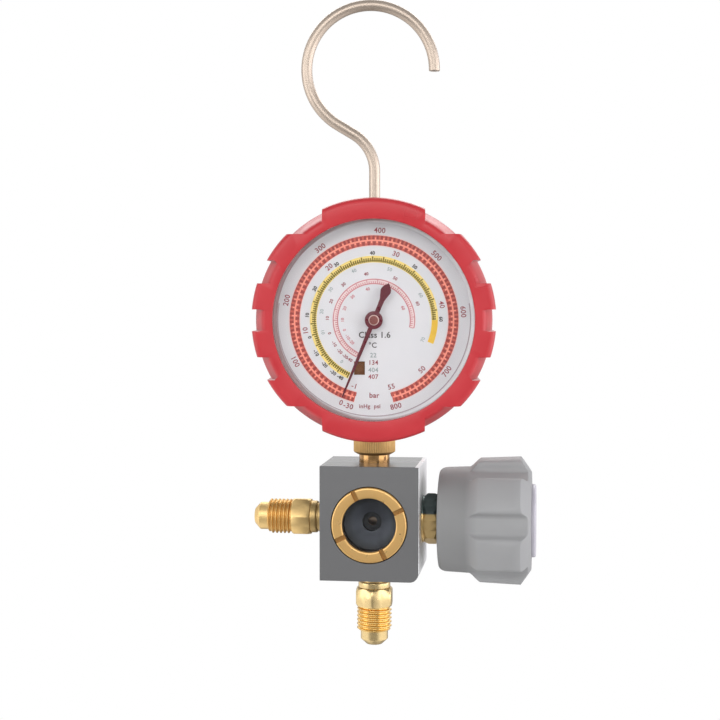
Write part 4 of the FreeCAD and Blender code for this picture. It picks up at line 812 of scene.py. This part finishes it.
block_top = block_high.z * 1000.0
neck_profile = [(0.0, block_top - neck_sunk), (neck_radius, block_top - neck_sunk),
                (neck_radius, block_top + neck_rise), (0.0, block_top + neck_rise)]
neck_shell = Shell().turned(eased(neck_profile, 0.1), round_the_stem)
# The neck's brass is redder than the other brass, and darker as painted shade between the block and the
# collar.
neck_brass = turned_metal("brass_neck", (0.48, 0.27, 0.11), (0.34, 0.17, 0.06), 0.17, "Z", 0.0000008)
neck_piece = neck_shell.piece("neck_turned", neck_brass)
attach(neck_piece, "gauge_and_block")
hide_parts("neck_adapter")


def knurled_brass():
    """Dull brass, with painted shade in the grooves of the knurl."""
    finish = Finish("brass_knurled", 1.0, 0.42, brass_tone, (0.4, 1.6), (0.50, 0.62), bump=(0.000006, 0.6))
    across, depth, height = finish.axes()
    crest = finish.ramp(finish.reach(across, depth), *crest_start)
    worn = finish.mottled((0.76, 0.50, 0.23), (0.74, 0.46, 0.17))
    # Painted shade in the grooves, lighter on the crests.
    return finish.coloured(finish.blend(crest, (0.56, 0.35, 0.15), worn))


def knurled_collar():
    """The collar: plain chamfered ends and a straight knurl between them."""
    collar_low, collar_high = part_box("knurled_collar")
    low = collar_low.z * 1000.0
    high = collar_high.z * 1000.0
    outer = (collar_high.x - collar_low.x) * 500.0 - 0.01
    # Each point is (radius, height, share of the knurl's depth).
    profile = [(5.0, low + 0.4, 0), (5.05, low, 0), (outer - 1.5, low, 0), (outer - 0.25, low + 0.72, 0),
               (outer - 0.1, low + 0.88, 0.6), (outer, low + 1.05, 1), (outer, high - 0.9, 1),
               (outer - 0.05, high - 0.7, 0.5), (outer - 0.15, high - 0.5, 0), (outer - 0.5, high, 0),
               (5.65, high, 0), (5.6, high - 0.1, 0), (5.6, low + 0.6, 0), (5.0, low + 0.6, 0)]
    rows = []
    for radius, height, knurl in profile:
        row = []
        for turn in full_turn(knurl_count * 4):
            groove = 0.5 + 0.5 * math.cos(knurl_count * turn)
            row.append(round_the_stem(radius - knurl_depth * knurl * groove, turn, height))
        rows.append(row)
    return Shell().rows(rows, closed_rows=True).piece("knurled_collar_turned", knurled_brass(), 60.0)


collar_piece = knurled_collar()
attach(collar_piece, "gauge_and_block")
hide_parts("knurled_collar")


# Inner parts: the brass socket, the Bourdon tube with its end piece and link, the toothed
# sector and pinion between their plates, the hook's nut and the valve's piston and seals.

def soft_seal(name, tone, roughness):
    """Rubber or slippery plastic for seals, with a faint grain."""
    return Finish(name, 0.0, roughness, tone, (0.15, 2.0), (roughness - 0.08, roughness + 0.08),
                  bump=(0.00001, 0.6)).material


paint_nodes(turned_metal("brass_plain", brass_tone, brass_dark, 0.28),
            "gauge_socket", "tube_tip", "link", "sector_gear", "back_plate", "pillars",
            "hairspring_stud", "hairspring_collet", "valve_stem", "knob_insert")
paint_nodes(turned_metal("spring_bronze", (0.60, 0.36, 0.16), (0.42, 0.24, 0.10), 0.30, "Z", 0.000001),
            "bourdon_tube", "hairspring")
paint_nodes(turned_metal("turned_steel", (0.56, 0.56, 0.58), (0.42, 0.42, 0.44), 0.28, "Y"),
            "case_screws", "pillar_screws", "movement_screws", "sector_shaft", "pointer_arbor",
            "hook_nut", "hook_washer", "piston_clip", "knob_screw")
# Painted shade: the valve piston, seen deep through the sight glass, gets a dark brass.
paint_nodes(turned_metal("brass_oiled", (0.27, 0.20, 0.145), (0.20, 0.14, 0.10), 0.45, "Z", 0.000004),
            "valve_piston")
paint_nodes(turned_metal("plate_browned", (0.26, 0.12, 0.06), (0.20, 0.09, 0.045), 0.42, "Z", 0.000001),
            "front_plate", "zero_screw")
paint_nodes(soft_seal("seal_rubber", (0.018, 0.018, 0.020), 0.6),
            "port_seals", "bonnet_seal", "lens_gasket", "relief_plug")
paint_nodes(soft_seal("seal_plastic", (0.80, 0.80, 0.77), 0.45),
            "stem_seal", "sight_seal", "packing", "seat_disc")


# Gauge case: a drawn and painted steel cup. The bezel ring is crimped over its mouth, and a
# bevelled spacer ring holds the dial back from the glass.

gauge_height = 91.4
gauge_turn = math.radians(5.7)
gauge_place = Matrix.Translation((0.0, 0.0, gauge_height)) @ Matrix.Rotation(gauge_turn, 4, "Z")
case_radius = (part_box("gauge_case")[1].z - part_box("gauge_case")[0].z) * 500.0
spacer_front = -12.95
spacer_back = -9.62
spacer_foot = 0.28

paint_nodes(Finish("case_paint", 0.0, 0.38, (0.030, 0.030, 0.032), (0.6, 9.0), (0.32, 0.44),
                   bump=(0.00001, 0.5)).material, "gauge_case")
paint_nodes(turned_metal("bezel_bright", (0.72, 0.72, 0.74), (0.60, 0.60, 0.62), 0.16, "Z", 0.000001),
            "bezel_ring")


def round_dial(radius, angle, height):
    """A point on a piece turned round the dial's axis; angle 0 is the top of the dial."""
    return (radius * math.sin(angle), height, radius * math.cos(angle))


def spacer_enamel():
    """White enamel of the spacer ring, with a shadow line where it meets the dial."""
    finish = Finish("spacer_enamel", 0.0, 0.42, (0.80, 0.81, 0.82), (0.5, 6.0), bump=(0.000003, 0.5))
    enamel = finish.mottled((0.70, 0.70, 0.72), (0.78, 0.78, 0.79))
    shadow = finish.ramp(finish.axes()["Y"], -0.0105, -0.0127)
    return finish.coloured(finish.blend(shadow, enamel, (0.30, 0.20, 0.20)))


spacer_profile = [
    (case_radius - 2.3, spacer_front), (case_radius - 0.9, spacer_front), (case_radius - 0.9, spacer_back),
    (case_radius - 3.1, spacer_back), (case_radius - 3.1, spacer_back - spacer_foot),
    (case_radius - 2.3, spacer_front)]
spacer_shell = Shell().turned(eased(spacer_profile, 0.12), round_dial, 160, closed=True)
spacer_piece = spacer_shell.piece("spacer_ring_turned", spacer_enamel(), 30.0, gauge_place)
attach(spacer_piece, "gauge_and_block")
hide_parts("spacer_ring")


# Dial: a sheet metal disc with a satin off-white ground and screen printed scales. The red double
# scale is pressure, and the yellow and pink ones are temperatures of the refrigerant.

print_front = -9.63
print_thickness = 0.02
scale_zero = 202.3
scale_low = 194.0
scale_high = 526.3
degrees_per_bar = 5.873
degrees_per_hundred_psi = 40.5
yellow_low = 204.0
yellow_high = 450.0
pink_low = 205.5
pink_high = 461.5

paint_nodes(Finish("dial_ground", 0.0, 0.45, (0.76, 0.78, 0.80), (0.3, 12.0), bump=(0.000004, 0.5),
                   tones=((0.70, 0.705, 0.735), (0.765, 0.74, 0.755))).material, "dial")


def ink(name, tone, second):
    """Screen printing ink with a slightly uneven cover."""
    return Finish("ink_" + name, 0.0, 0.40, tone, (0.18, 1.2), tones=(tone, second),
                  bump=(0.000003, 0.5)).material


red_ink = ink("red", (0.66, 0.125, 0.085), (0.56, 0.095, 0.07))
coral_ink = ink("coral", (0.95, 0.26, 0.18), (0.95, 0.38, 0.28))
dark_red_ink = ink("dark_red", (0.38, 0.05, 0.04), (0.34, 0.04, 0.035))
deep_yellow_ink = ink("deep_yellow", (0.82, 0.48, 0.03), (0.88, 0.56, 0.06))
# Painted shadow colour for the dark line round the dial's rim.
rim_shadow_paint = ink("mauve", (0.40, 0.32, 0.34), (0.46, 0.36, 0.38))
maroon_ink = ink("maroon", (0.28, 0.05, 0.07), (0.36, 0.08, 0.09))
yellow_ink = ink("yellow", (0.88, 0.64, 0.12), (0.90, 0.74, 0.30))
olive_ink = ink("olive", (0.15, 0.10, 0.004), (0.22, 0.16, 0.01))
black_ink = ink("black", (0.045, 0.035, 0.035), (0.06, 0.05, 0.045))
pink_ink = ink("pink", (0.62, 0.24, 0.26), (0.55, 0.17, 0.20))
halo_ink = ink("halo", (0.84, 0.66, 0.64), (0.78, 0.62, 0.62))
grey_ink = ink("grey", (0.34, 0.40, 0.38), (0.30, 0.34, 0.36))


def on_dial(piece):
    """Fix a printed piece to the dial."""
    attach(piece, "gauge_and_block")


def print_bands(name, material, *bands):
    """Thin printed bands along a circle: each is (inner, outer, start, end, lift)."""
    shell = Shell()
    for inner, outer, start_deg, end_deg, lift in bands:
        steps = max(2, int((end_deg - start_deg) / 1.5))
        back = print_front - lift
        front = back - print_thickness
        rows = []
        for step in range(steps + 1):
            angle = math.radians(start_deg + (end_deg - start_deg) * step / steps)
            rows.append([round_dial(inner, angle, back), round_dial(inner, angle, front),
                         round_dial(outer, angle, front), round_dial(outer, angle, back)])
        shell.rows(rows, caps=True)
    on_dial(shell.piece(name, material, 30.0, gauge_place))


def print_ticks(name, inner, outer, start_deg, step_deg, count, width, material, long_every=1, longer=0.0):
    """A row of scale ticks, set out by Geometry Nodes and made into one plain mesh."""
    sizes = {"Inner Radius": inner, "Outer Radius": outer, "Start Angle": math.radians(start_deg),
             "Step Angle": math.radians(step_deg), "Tick Width": width, "Longer": longer,
             "Front": print_front - print_thickness * 0.5, "Count": count, "Long Every": long_every}
    sockets = {label: "Int" if isinstance(size, int) else "Float" for label, size in sizes.items()}
    group, given, result = named_group(name + "_layout", "GeometryNodeTree",
                                       {"Geometry": "Geometry", **sockets}, {"Geometry": "Geometry"})

    def vector(x, y, z):
        """Three sockets or numbers as one vector."""
        return group.node("ShaderNodeCombineXYZ", X=x, Y=y, Z=z).outputs[0]

    index = group.node("GeometryNodeInputIndex").outputs[0]
    angle = group.math("MULTIPLY_ADD", index, given["Step Angle"], given["Start Angle"])
    radius = given["Inner Radius"]
    foot = vector(group.math("MULTIPLY", group.math("SINE", angle), radius), given["Front"],
                  group.math("MULTIPLY", group.math("COSINE", angle), radius))
    line = group.node("GeometryNodeMeshLine", Count=given["Count"], Offset=(0.0, 0.0, 0.0))
    spots = group.node("GeometryNodeSetPosition", Geometry=line.outputs["Mesh"], Position=foot)
    is_long = group.below(group.math("MODULO", index, given["Long Every"]), 0.5)
    length = group.math("MULTIPLY_ADD", is_long, given["Longer"],
                        group.math("SUBTRACT", given["Outer Radius"], radius))
    bar = group.node("GeometryNodeTransform", Translation=(0.0, 0.0, 0.5),
                     Geometry=group.node("GeometryNodeMeshCube").outputs["Mesh"])
    spread = group.node("GeometryNodeInstanceOnPoints", Points=spots.outputs["Geometry"],
                        Instance=bar.outputs["Geometry"], Rotation=vector(0.0, angle, 0.0),
                        Scale=vector(given["Tick Width"], print_thickness, length))
    real = group.node("GeometryNodeRealizeInstances", Geometry=spread.outputs["Instances"])
    inked = group.node("GeometryNodeSetMaterial", Geometry=real.outputs["Geometry"], Material=material)
    group.link(inked.outputs["Geometry"], result["Geometry"])

    carrier = add_to_scene(name + "_carrier", bpy.data.meshes.new(name + "_carrier"))
    modifier = carrier.modifiers.new("ticks", "NODES")
    modifier.node_group = group.tree
    for socket in group.tree.interface.items_tree:
        if socket.in_out == "INPUT" and socket.name in sizes:
            modifier[socket.identifier] = sizes[socket.name]
    bpy.context.view_layer.update()
    mesh = bpy.data.meshes.new_from_object(carrier.evaluated_get(bpy.context.evaluated_depsgraph_get()))
    bpy.data.objects.remove(carrier)
    mesh.transform(Matrix.Scale(0.001, 4) @ gauge_place)
    on_dial(add_to_scene(name, mesh))


def print_text(name, labels, material, size, always_upright=False, weight=0.016):
    """Words round the dial: each is (text, radius, angle); those in the lower half face up."""
    shell = Shell()
    for text, radius, angle_deg in labels:
        curve = bpy.data.curves.new(name, "FONT")
        curve.body = text
        curve.size = size
        curve.align_x = "CENTER"
        curve.align_y = "CENTER"
        curve.space_character = 1.05
        curve.extrude = print_thickness * 0.5
        curve.offset = size * weight
        curve.resolution_u = 3
        letters = bpy.data.objects.new(name, curve)
        mesh = bpy.data.meshes.new_from_object(letters)
        bpy.data.objects.remove(letters)
        angle = math.radians(angle_deg)
        place = Matrix.Translation(round_dial(radius, angle, print_front - print_thickness))
        facing = angle + (math.pi if math.cos(angle) < -0.2 else 0.0)
        turn = Matrix.Rotation(0.0 if always_upright else facing, 4, "Y")
        mesh.transform(place @ turn @ Matrix.Rotation(math.radians(90.0), 4, "X"))
        shell.mesh.from_mesh(mesh)
        bpy.data.meshes.remove(mesh)
    on_dial(shell.piece(name, material, 30.0, gauge_place))


def print_words(name, lines, material, size):
    """Upright words on the dial: each is (text, x, z)."""
    labels = [(text, math.hypot(x, z), math.degrees(math.atan2(x, z))) for text, x, z in lines]
    print_text(name, labels, material, size, always_upright=True)


print_bands("print_pressure_halo", halo_ink, (22.85, 26.55, scale_low - 0.6, scale_high + 0.6, -0.01))
print_bands("print_pressure_bands", red_ink,
            (23.13, 24.45, scale_low, scale_high, 0.0), (24.95, 26.25, scale_low, scale_high, 0.0),
            (23.13, 26.25, scale_low - 0.3, scale_low + 0.4, 0.003),
            (23.13, 26.25, scale_high - 0.4, scale_high + 0.3, 0.003))
print_bands("print_pressure_middle", coral_ink, (24.45, 24.95, scale_low, scale_high, 0.001))
print_ticks("print_pressure_inner_ticks", 23.2, 24.4, scale_zero - 8.1, 4.05, 83, 0.80, dark_red_ink)
print_ticks("print_pressure_outer_ticks", 25.0, 26.2, scale_zero - 7.1, 2.937, 113, 0.66, dark_red_ink)
print_ticks("print_pressure_ticks", 23.9, 24.9, scale_zero - 6.07, 4.05, 82, 0.46, coral_ink)
print_ticks("print_bar_ticks", 24.6, 25.6, scale_zero - 5.63, degrees_per_bar, 56, 0.46, coral_ink)
# Painted shadow: a thin dark line round the lower rim of the dial, where it meets the spacer ring.
print_bands("print_rim_line", rim_shadow_paint, (29.8, 30.1, 80.0, 280.0, 0.0))
pressure_labels = [(str(100 * step), 27.75, scale_zero + degrees_per_hundred_psi * step - 0.6)
                   for step in range(9)]
print_text("print_pressure_numbers", pressure_labels + [("-30", 28.0, 196.6)], maroon_ink, 2.3)
bar_labels = [(str(value), 21.5, scale_zero + degrees_per_bar * value)
              for value in (-1, 10, 20, 30, 40, 50, 55)]
print_text("print_bar_numbers", bar_labels, maroon_ink, 2.2)

# The angles at which each temperature scale reaches its tens of degrees, from the dial's top.
yellow_angles = (210.5, 217.8, 227.9, 240.3, 254.9, 274.0, 297.9, 326.0, 358.7, 397.5, 449.2)
grey_angles = (217.7, 256.8, 279.2, 305.1, 337.9, 377.2, 421.9, 471.8)
pink_angles = (211.7, 218.3, 227.5, 239.0, 253.3, 272.0, 293.7, 319.3, 350.5, 387.0, 429.3)


def tens(first, radius, angles):
    """The labels of a temperature scale, ten degrees apart."""
    return [(str(first + 10 * step), radius, angle) for step, angle in enumerate(angles)]


print_bands("print_yellow_band", yellow_ink, (17.85, 19.95, yellow_low, yellow_high, 0.0))
print_bands("print_yellow_end", deep_yellow_ink, (17.95, 19.85, yellow_high, 472.0, 0.0))
print_ticks("print_yellow_ticks", 18.0, 19.25, yellow_low + 1.0, 2.05, 120, 0.44, olive_ink, 5, 0.5)
print_bands("print_yellow_line", olive_ink, (18.35, 18.6, yellow_low, yellow_high, 0.002))
print_text("print_yellow_numbers", tens(-40, 20.75, yellow_angles), black_ink, 1.5, weight=0.04)
print_text("print_grey_numbers", tens(0, 16.4, grey_angles), grey_ink, 1.5)

print_bands("print_pink_ground", halo_ink, (11.1, 12.9, pink_low, pink_high, -0.01))
print_bands("print_pink_rings", pink_ink,
            (11.15, 11.45, pink_low, pink_high, 0.0), (12.5, 12.8, pink_low, pink_high, 0.0))
print_ticks("print_pink_ticks", 11.45, 12.1, pink_low, 3.2, 81, 0.24, pink_ink, 5, 0.4)
print_text("print_pink_numbers", tens(-40, 14.45, pink_angles), maroon_ink, 1.35, weight=0.03)
inner_angles = [angle - 2.0 for angle in pink_angles[2:]]
print_text("print_inner_numbers", tens(-20, 9.75, inner_angles), pink_ink, 1.3, weight=0.03)

print_words("print_class", [("Class 1.6", 0.2, -4.7)], black_ink, 2.6)
print_words("print_degrees", [("°C", -0.4, -7.9)], black_ink, 2.3)
print_words("print_fluid_one", [("22", -0.2, -11.0), ("404", -0.2, -15.6)], grey_ink, 2.0)
print_words("print_fluid_two", [("134", -0.2, -13.3), ("407", -0.2, -17.7)], maroon_ink, 2.0)
print_words("print_units", [("bar", 0.1, -23.5)], maroon_ink, 2.3)
print_words("print_units_outer", [("inHg  psi", -1.3, -26.9)], maroon_ink, 1.8)

paint_nodes(clear_glass("lens_clear", (1.0, 1.0, 1.0), 0.0), "lens")


# Pointer: stamped from thin sheet and painted dark maroon, with a tapering needle, a round boss
# and a spade-shaped tail. A small brass bush grips the arbor.

pointer_front = -12.3
pointer_back = -11.9
pointer_edge = 0.12
bush_front = -12.6
bush_back = -11.1
bush_radius = 1.7

pointer_paint = Finish("pointer_paint", 0.0, 0.40, (0.115, 0.010, 0.020), (0.2, 2.0), (0.26, 0.40),
                       bump=(0.000006, 0.6)).material


def pointer():
    """The pointer's flat outline with its round boss."""
    turn = Matrix.Rotation(math.radians(scale_zero), 4, "Y")
    right_edge = [(0.25, 25.4), (0.75, 0.0), (0.72, -4.5), (0.8, -6.8), (1.25, -8.3), (1.65, -9.6),
                  (1.5, -10.5), (0.9, -11.4)]
    left_edge = [(-x, z) for x, z in reversed(right_edge)]
    outline = [(0.0, 26.2)] + right_edge + [(0.0, -12.3)] + left_edge
    rows = []
    for height, inset in ((pointer_back, 0.0), (pointer_front + pointer_edge, 0.0),
                          (pointer_front, pointer_edge)):
        row = []
        for x, z in outline:
            if x:
                row.append((math.copysign(abs(x) - min(inset, abs(x) * 0.6), x), height, z))
            else:
                row.append((0.0, height, z - math.copysign(inset, z)))
        rows.append(row)
    shell = Shell().rows(rows, caps=True)
    boss = [(0.0, pointer_front - 0.12), (2.75, pointer_front - 0.12), (2.8, pointer_front + 0.1),
            (2.8, pointer_back), (0.0, pointer_back)]
    shell.turned(eased(boss, 0.12), round_dial, 64)
    return shell.piece("pointer_stamped", pointer_paint, 35.0, gauge_place @ turn)


pointer_piece = pointer()
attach(pointer_piece, "pointer_group")
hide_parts("pointer")


def bush_brass():
    """Browned brass of the bush, lighter round its edge."""
    finish = Finish("pointer_bush_metal", 0.5, 0.40, (0.24, 0.08, 0.07), (0.3, 2.0), bump=(0.000003, 0.5))
    across, depth, height = finish.axes()
    centre = gauge_place @ Vector((0.0, bush_front + 0.1, 0.0)) * 0.001
    rim = finish.ramp(finish.reach(finish.math("SUBTRACT", across, centre.x),
                                   finish.math("SUBTRACT", height, centre.z)), 0.00125, 0.00145)
    brown = finish.mottled((0.28, 0.09, 0.07), (0.19, 0.06, 0.06))
    return finish.coloured(finish.blend(rim, brown, (0.60, 0.44, 0.40)))


bush_profile = [(0.0, bush_front + 0.02), (0.5, bush_front), (bush_radius - 0.25, bush_front),
                (bush_radius, bush_front + 0.25), (bush_radius, bush_back), (0.0, bush_back)]
bush_shell = Shell().turned(eased(bush_profile, 0.12), round_dial, 48)
bush_piece = bush_shell.piece("pointer_bush_turned", bush_brass(), 35.0, gauge_place)
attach(bush_piece, "pointer_group")
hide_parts("pointer_bush")


# Boot: moulded red rubber, stretched over the case. A smooth band with ten lugs keeps the gauge
# from rolling and takes knocks. The hook and the stem pass through holes in it.

boot_lug_radius = 37.7
boot_lug_face = 37.68
boot_gap_face = 36.86
boot_end_half = boot_lug_radius * math.sin(math.radians(24.7))
boot_side_lugs = [(45.6, 60.8), (72.5, 84.9), (95.1, 107.5), (119.2, 134.4)]
boot_edge = 0.00045
boot_sharp = math.radians(33.0)
# Each station is (depth, radius in the gaps, radius on the lugs).
boot_stations = [
    (-16.4, 31.0, 31.0), (-17.2, 31.0, 31.0), (-17.5, 31.15, 31.15), (-17.6, 31.5, 31.5),
    (-17.58, 33.0, 35.5), (-17.45, 33.6, 36.5), (-17.1, 34.0, 37.0), (-16.4, 34.4, 37.4),
    (-15.6, 34.75, 37.6), (-14.8, 35.05, boot_lug_face), (-12.0, 35.95, boot_lug_face),
    (-9.0, 36.82, boot_lug_face), (-8.0, boot_gap_face, boot_lug_face), (9.8, boot_gap_face, boot_lug_face),
    (10.8, 36.7, 37.5), (11.9, 36.1, 36.9), (12.7, 35.2, 36.0), (13.1, 34.1, 34.8), (13.18, 33.0, 33.3),
    (13.18, 26.8, 26.8), (13.05, 26.25, 26.25), (12.7, 26.05, 26.05), (11.3, 26.05, 26.05),
    (11.3, 33.45, 33.45), (-10.6, 33.45, 33.45), (-10.6, 34.1, 34.1), (-16.4, 34.1, 34.1)]
# Each hole is (name, radius, lowest and highest point from the gauge's middle).
boot_holes = [("hook_hole", 2.2, 30.0, 40.0), ("stem_hole", 7.15, -40.0, -28.0)]


def boot_outline(gap, lug):
    """The boot's outline at one depth, clockwise from the top, as (radius, angle) points."""
    if gap == lug:
        return [(gap, angle) for radius, angle in boot_outline(boot_gap_face, boot_lug_face)]
    end_gap = math.asin(boot_end_half / gap)
    end_lug = math.asin(boot_end_half / lug)
    # Each arc is (radius, start, end, steps).
    right = []
    previous = end_gap
    for upper_deg, lower_deg in boot_side_lugs:
        upper = boot_lug_radius * math.cos(math.radians(upper_deg))
        lower = boot_lug_radius * math.cos(math.radians(lower_deg))
        right.append((gap, previous, math.acos(upper / gap), 10))
        right.append((lug, math.acos(upper / lug), math.acos(lower / lug), 8))
        previous = math.acos(lower / gap)
    right.append((gap, previous, math.pi - end_gap, 10))
    top = [(lug, -end_lug, end_lug, 22)]
    bottom = [(lug, math.pi - end_lug, math.pi + end_lug, 20)]
    left = [(radius, -end, -start, steps) for radius, start, end, steps in reversed(right)]
    return [(radius, start + (end - start) * step / steps)
            for radius, start, end, steps in top + right + bottom + left for step in range(steps + 1)]


def rubber_boot():
    """The boot's skin, then its edges rounded and its two holes cut."""
    rows = [[round_dial(radius, angle, depth) for radius, angle in boot_outline(gap, lug)]
            for depth, gap, lug in boot_stations]
    made = Shell().rows(rows, closed_rows=True).piece("rubber_boot_moulded", boot_rubber, 40.0, gauge_place)
    rounding = made.modifiers.new("rounding", "BEVEL")
    rounding.width = boot_edge
    rounding.segments = 3
    rounding.limit_method = "ANGLE"
    rounding.angle_limit = math.radians(40.0)
    for hole, radius, low, high in boot_holes:
        plug = Shell().turned([(0.0, low), (radius, low), (radius, high), (0.0, high)], round_the_stem, 64)
        cut = made.modifiers.new(hole, "BOOLEAN")
        cut.object = plug.piece(hole, boot_rubber, 40.0, Matrix.Translation((0.0, 0.0, gauge_height)))
        cut.operation = "DIFFERENCE"
        cut.solver = "EXACT"
    bpy.context.view_layer.update()
    mesh = bpy.data.meshes.new_from_object(made.evaluated_get(bpy.context.evaluated_depsgraph_get()))
    made.modifiers.clear()
    made.data = mesh
    for hole, radius, low, high in boot_holes:
        bpy.data.objects.remove(bpy.data.objects[hole])
    mesh.shade_smooth()
    mesh.set_sharp_from_angle(angle=boot_sharp)
    return made


boot_finish = Finish("boot_rubber", 0.0, 0.34, (0.46, 0.026, 0.032), (0.22, 9.0), (0.26, 0.40),
                     ((0.45, 0.024, 0.032), (0.53, 0.032, 0.040)), (0.000015, 0.6))
boot_finish.send(0.38, "Specular IOR Level")
boot_rubber = boot_finish.material
boot_piece = rubber_boot()
# The photograph's brass and block show no red of the boot.
boot_piece.visible_glossy = False
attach(boot_piece, "gauge_and_block")
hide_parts("rubber_boot")


# Hook: plated steel wire bent to an open loop with a gooseneck below it. Its foot is screwed
# through the top of the case and can turn.

hook_radius = 20.1
hook_middle = Vector((-1.3, 78.64))
hook_start = 30.5
hook_leave = math.radians(239.0)
hook_end = math.radians(-1.0)
hook_bend = 13.5
wire_radius = 1.74


def hook_line():
    """The wire's centre line as (point, heading) samples from the boot to the open end."""
    def ray(turn):
        """One step from a centre in a direction."""
        return Vector((math.cos(turn), math.sin(turn)))

    leave = hook_middle + ray(hook_leave) * hook_radius
    onwards = ray(hook_leave + math.pi / 2)
    down = hook_leave - math.pi
    straight = (-leave.x - hook_bend * (1.0 - math.sin(math.pi / 2 - down))) / onwards.x
    bend_centre = leave + onwards * straight + ray(hook_leave) * hook_bend
    samples = [(Vector((0.0, hook_start)), math.pi / 2), (Vector((0.0, bend_centre.y - 0.01)), math.pi / 2)]
    for step in range(1, 21):
        turn = down * step / 20
        samples.append((bend_centre + ray(turn) * hook_bend, turn + math.pi / 2))
    samples.append((leave, down + math.pi / 2))
    for step in range(1, 85):
        turn = hook_leave + (hook_end - hook_leave) * step / 84
        samples.append((hook_middle + ray(turn) * hook_radius, turn - math.pi / 2))
    return samples


def hook():
    """The wire swept along its line, with slightly rounded ends."""
    samples = hook_line()
    first = samples[0]
    last = samples[-1]
    # Each ring is (point, heading, radius, how far it stands ahead of its point).
    rings = [(*first, 0.0, 0.0)] + [(*sample, wire_radius, 0.0) for sample in samples]
    rings += [(*last, wire_radius * 0.93, 0.12), (*last, wire_radius * 0.72, 0.2), (*last, 0.0, 0.2)]
    rows = []
    for point, heading, radius, ahead in rings:
        across = Vector((-math.sin(heading), 0.0, math.cos(heading)))
        forward = Vector((math.cos(heading), 0.0, math.sin(heading)))
        middle = Vector((point.x, 0.0, point.y)) + forward * ahead
        rows.append([middle + across * radius * math.cos(turn) + Vector((0, radius * math.sin(turn), 0))
                     for turn in full_turn(28)])
    return Shell().rows(rows).piece("hook_bent_wire", hook_plating, 32.0, gauge_place)


hook_plating = Finish("hook_plating", 0.85, 0.40, (0.60, 0.50, 0.40), (2.0, 4.0), (0.36, 0.44),
                      ((0.50, 0.41, 0.34), (0.56, 0.47, 0.39))).material
hook_piece = hook()
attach(hook_piece, "hook_group")
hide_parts("hook")
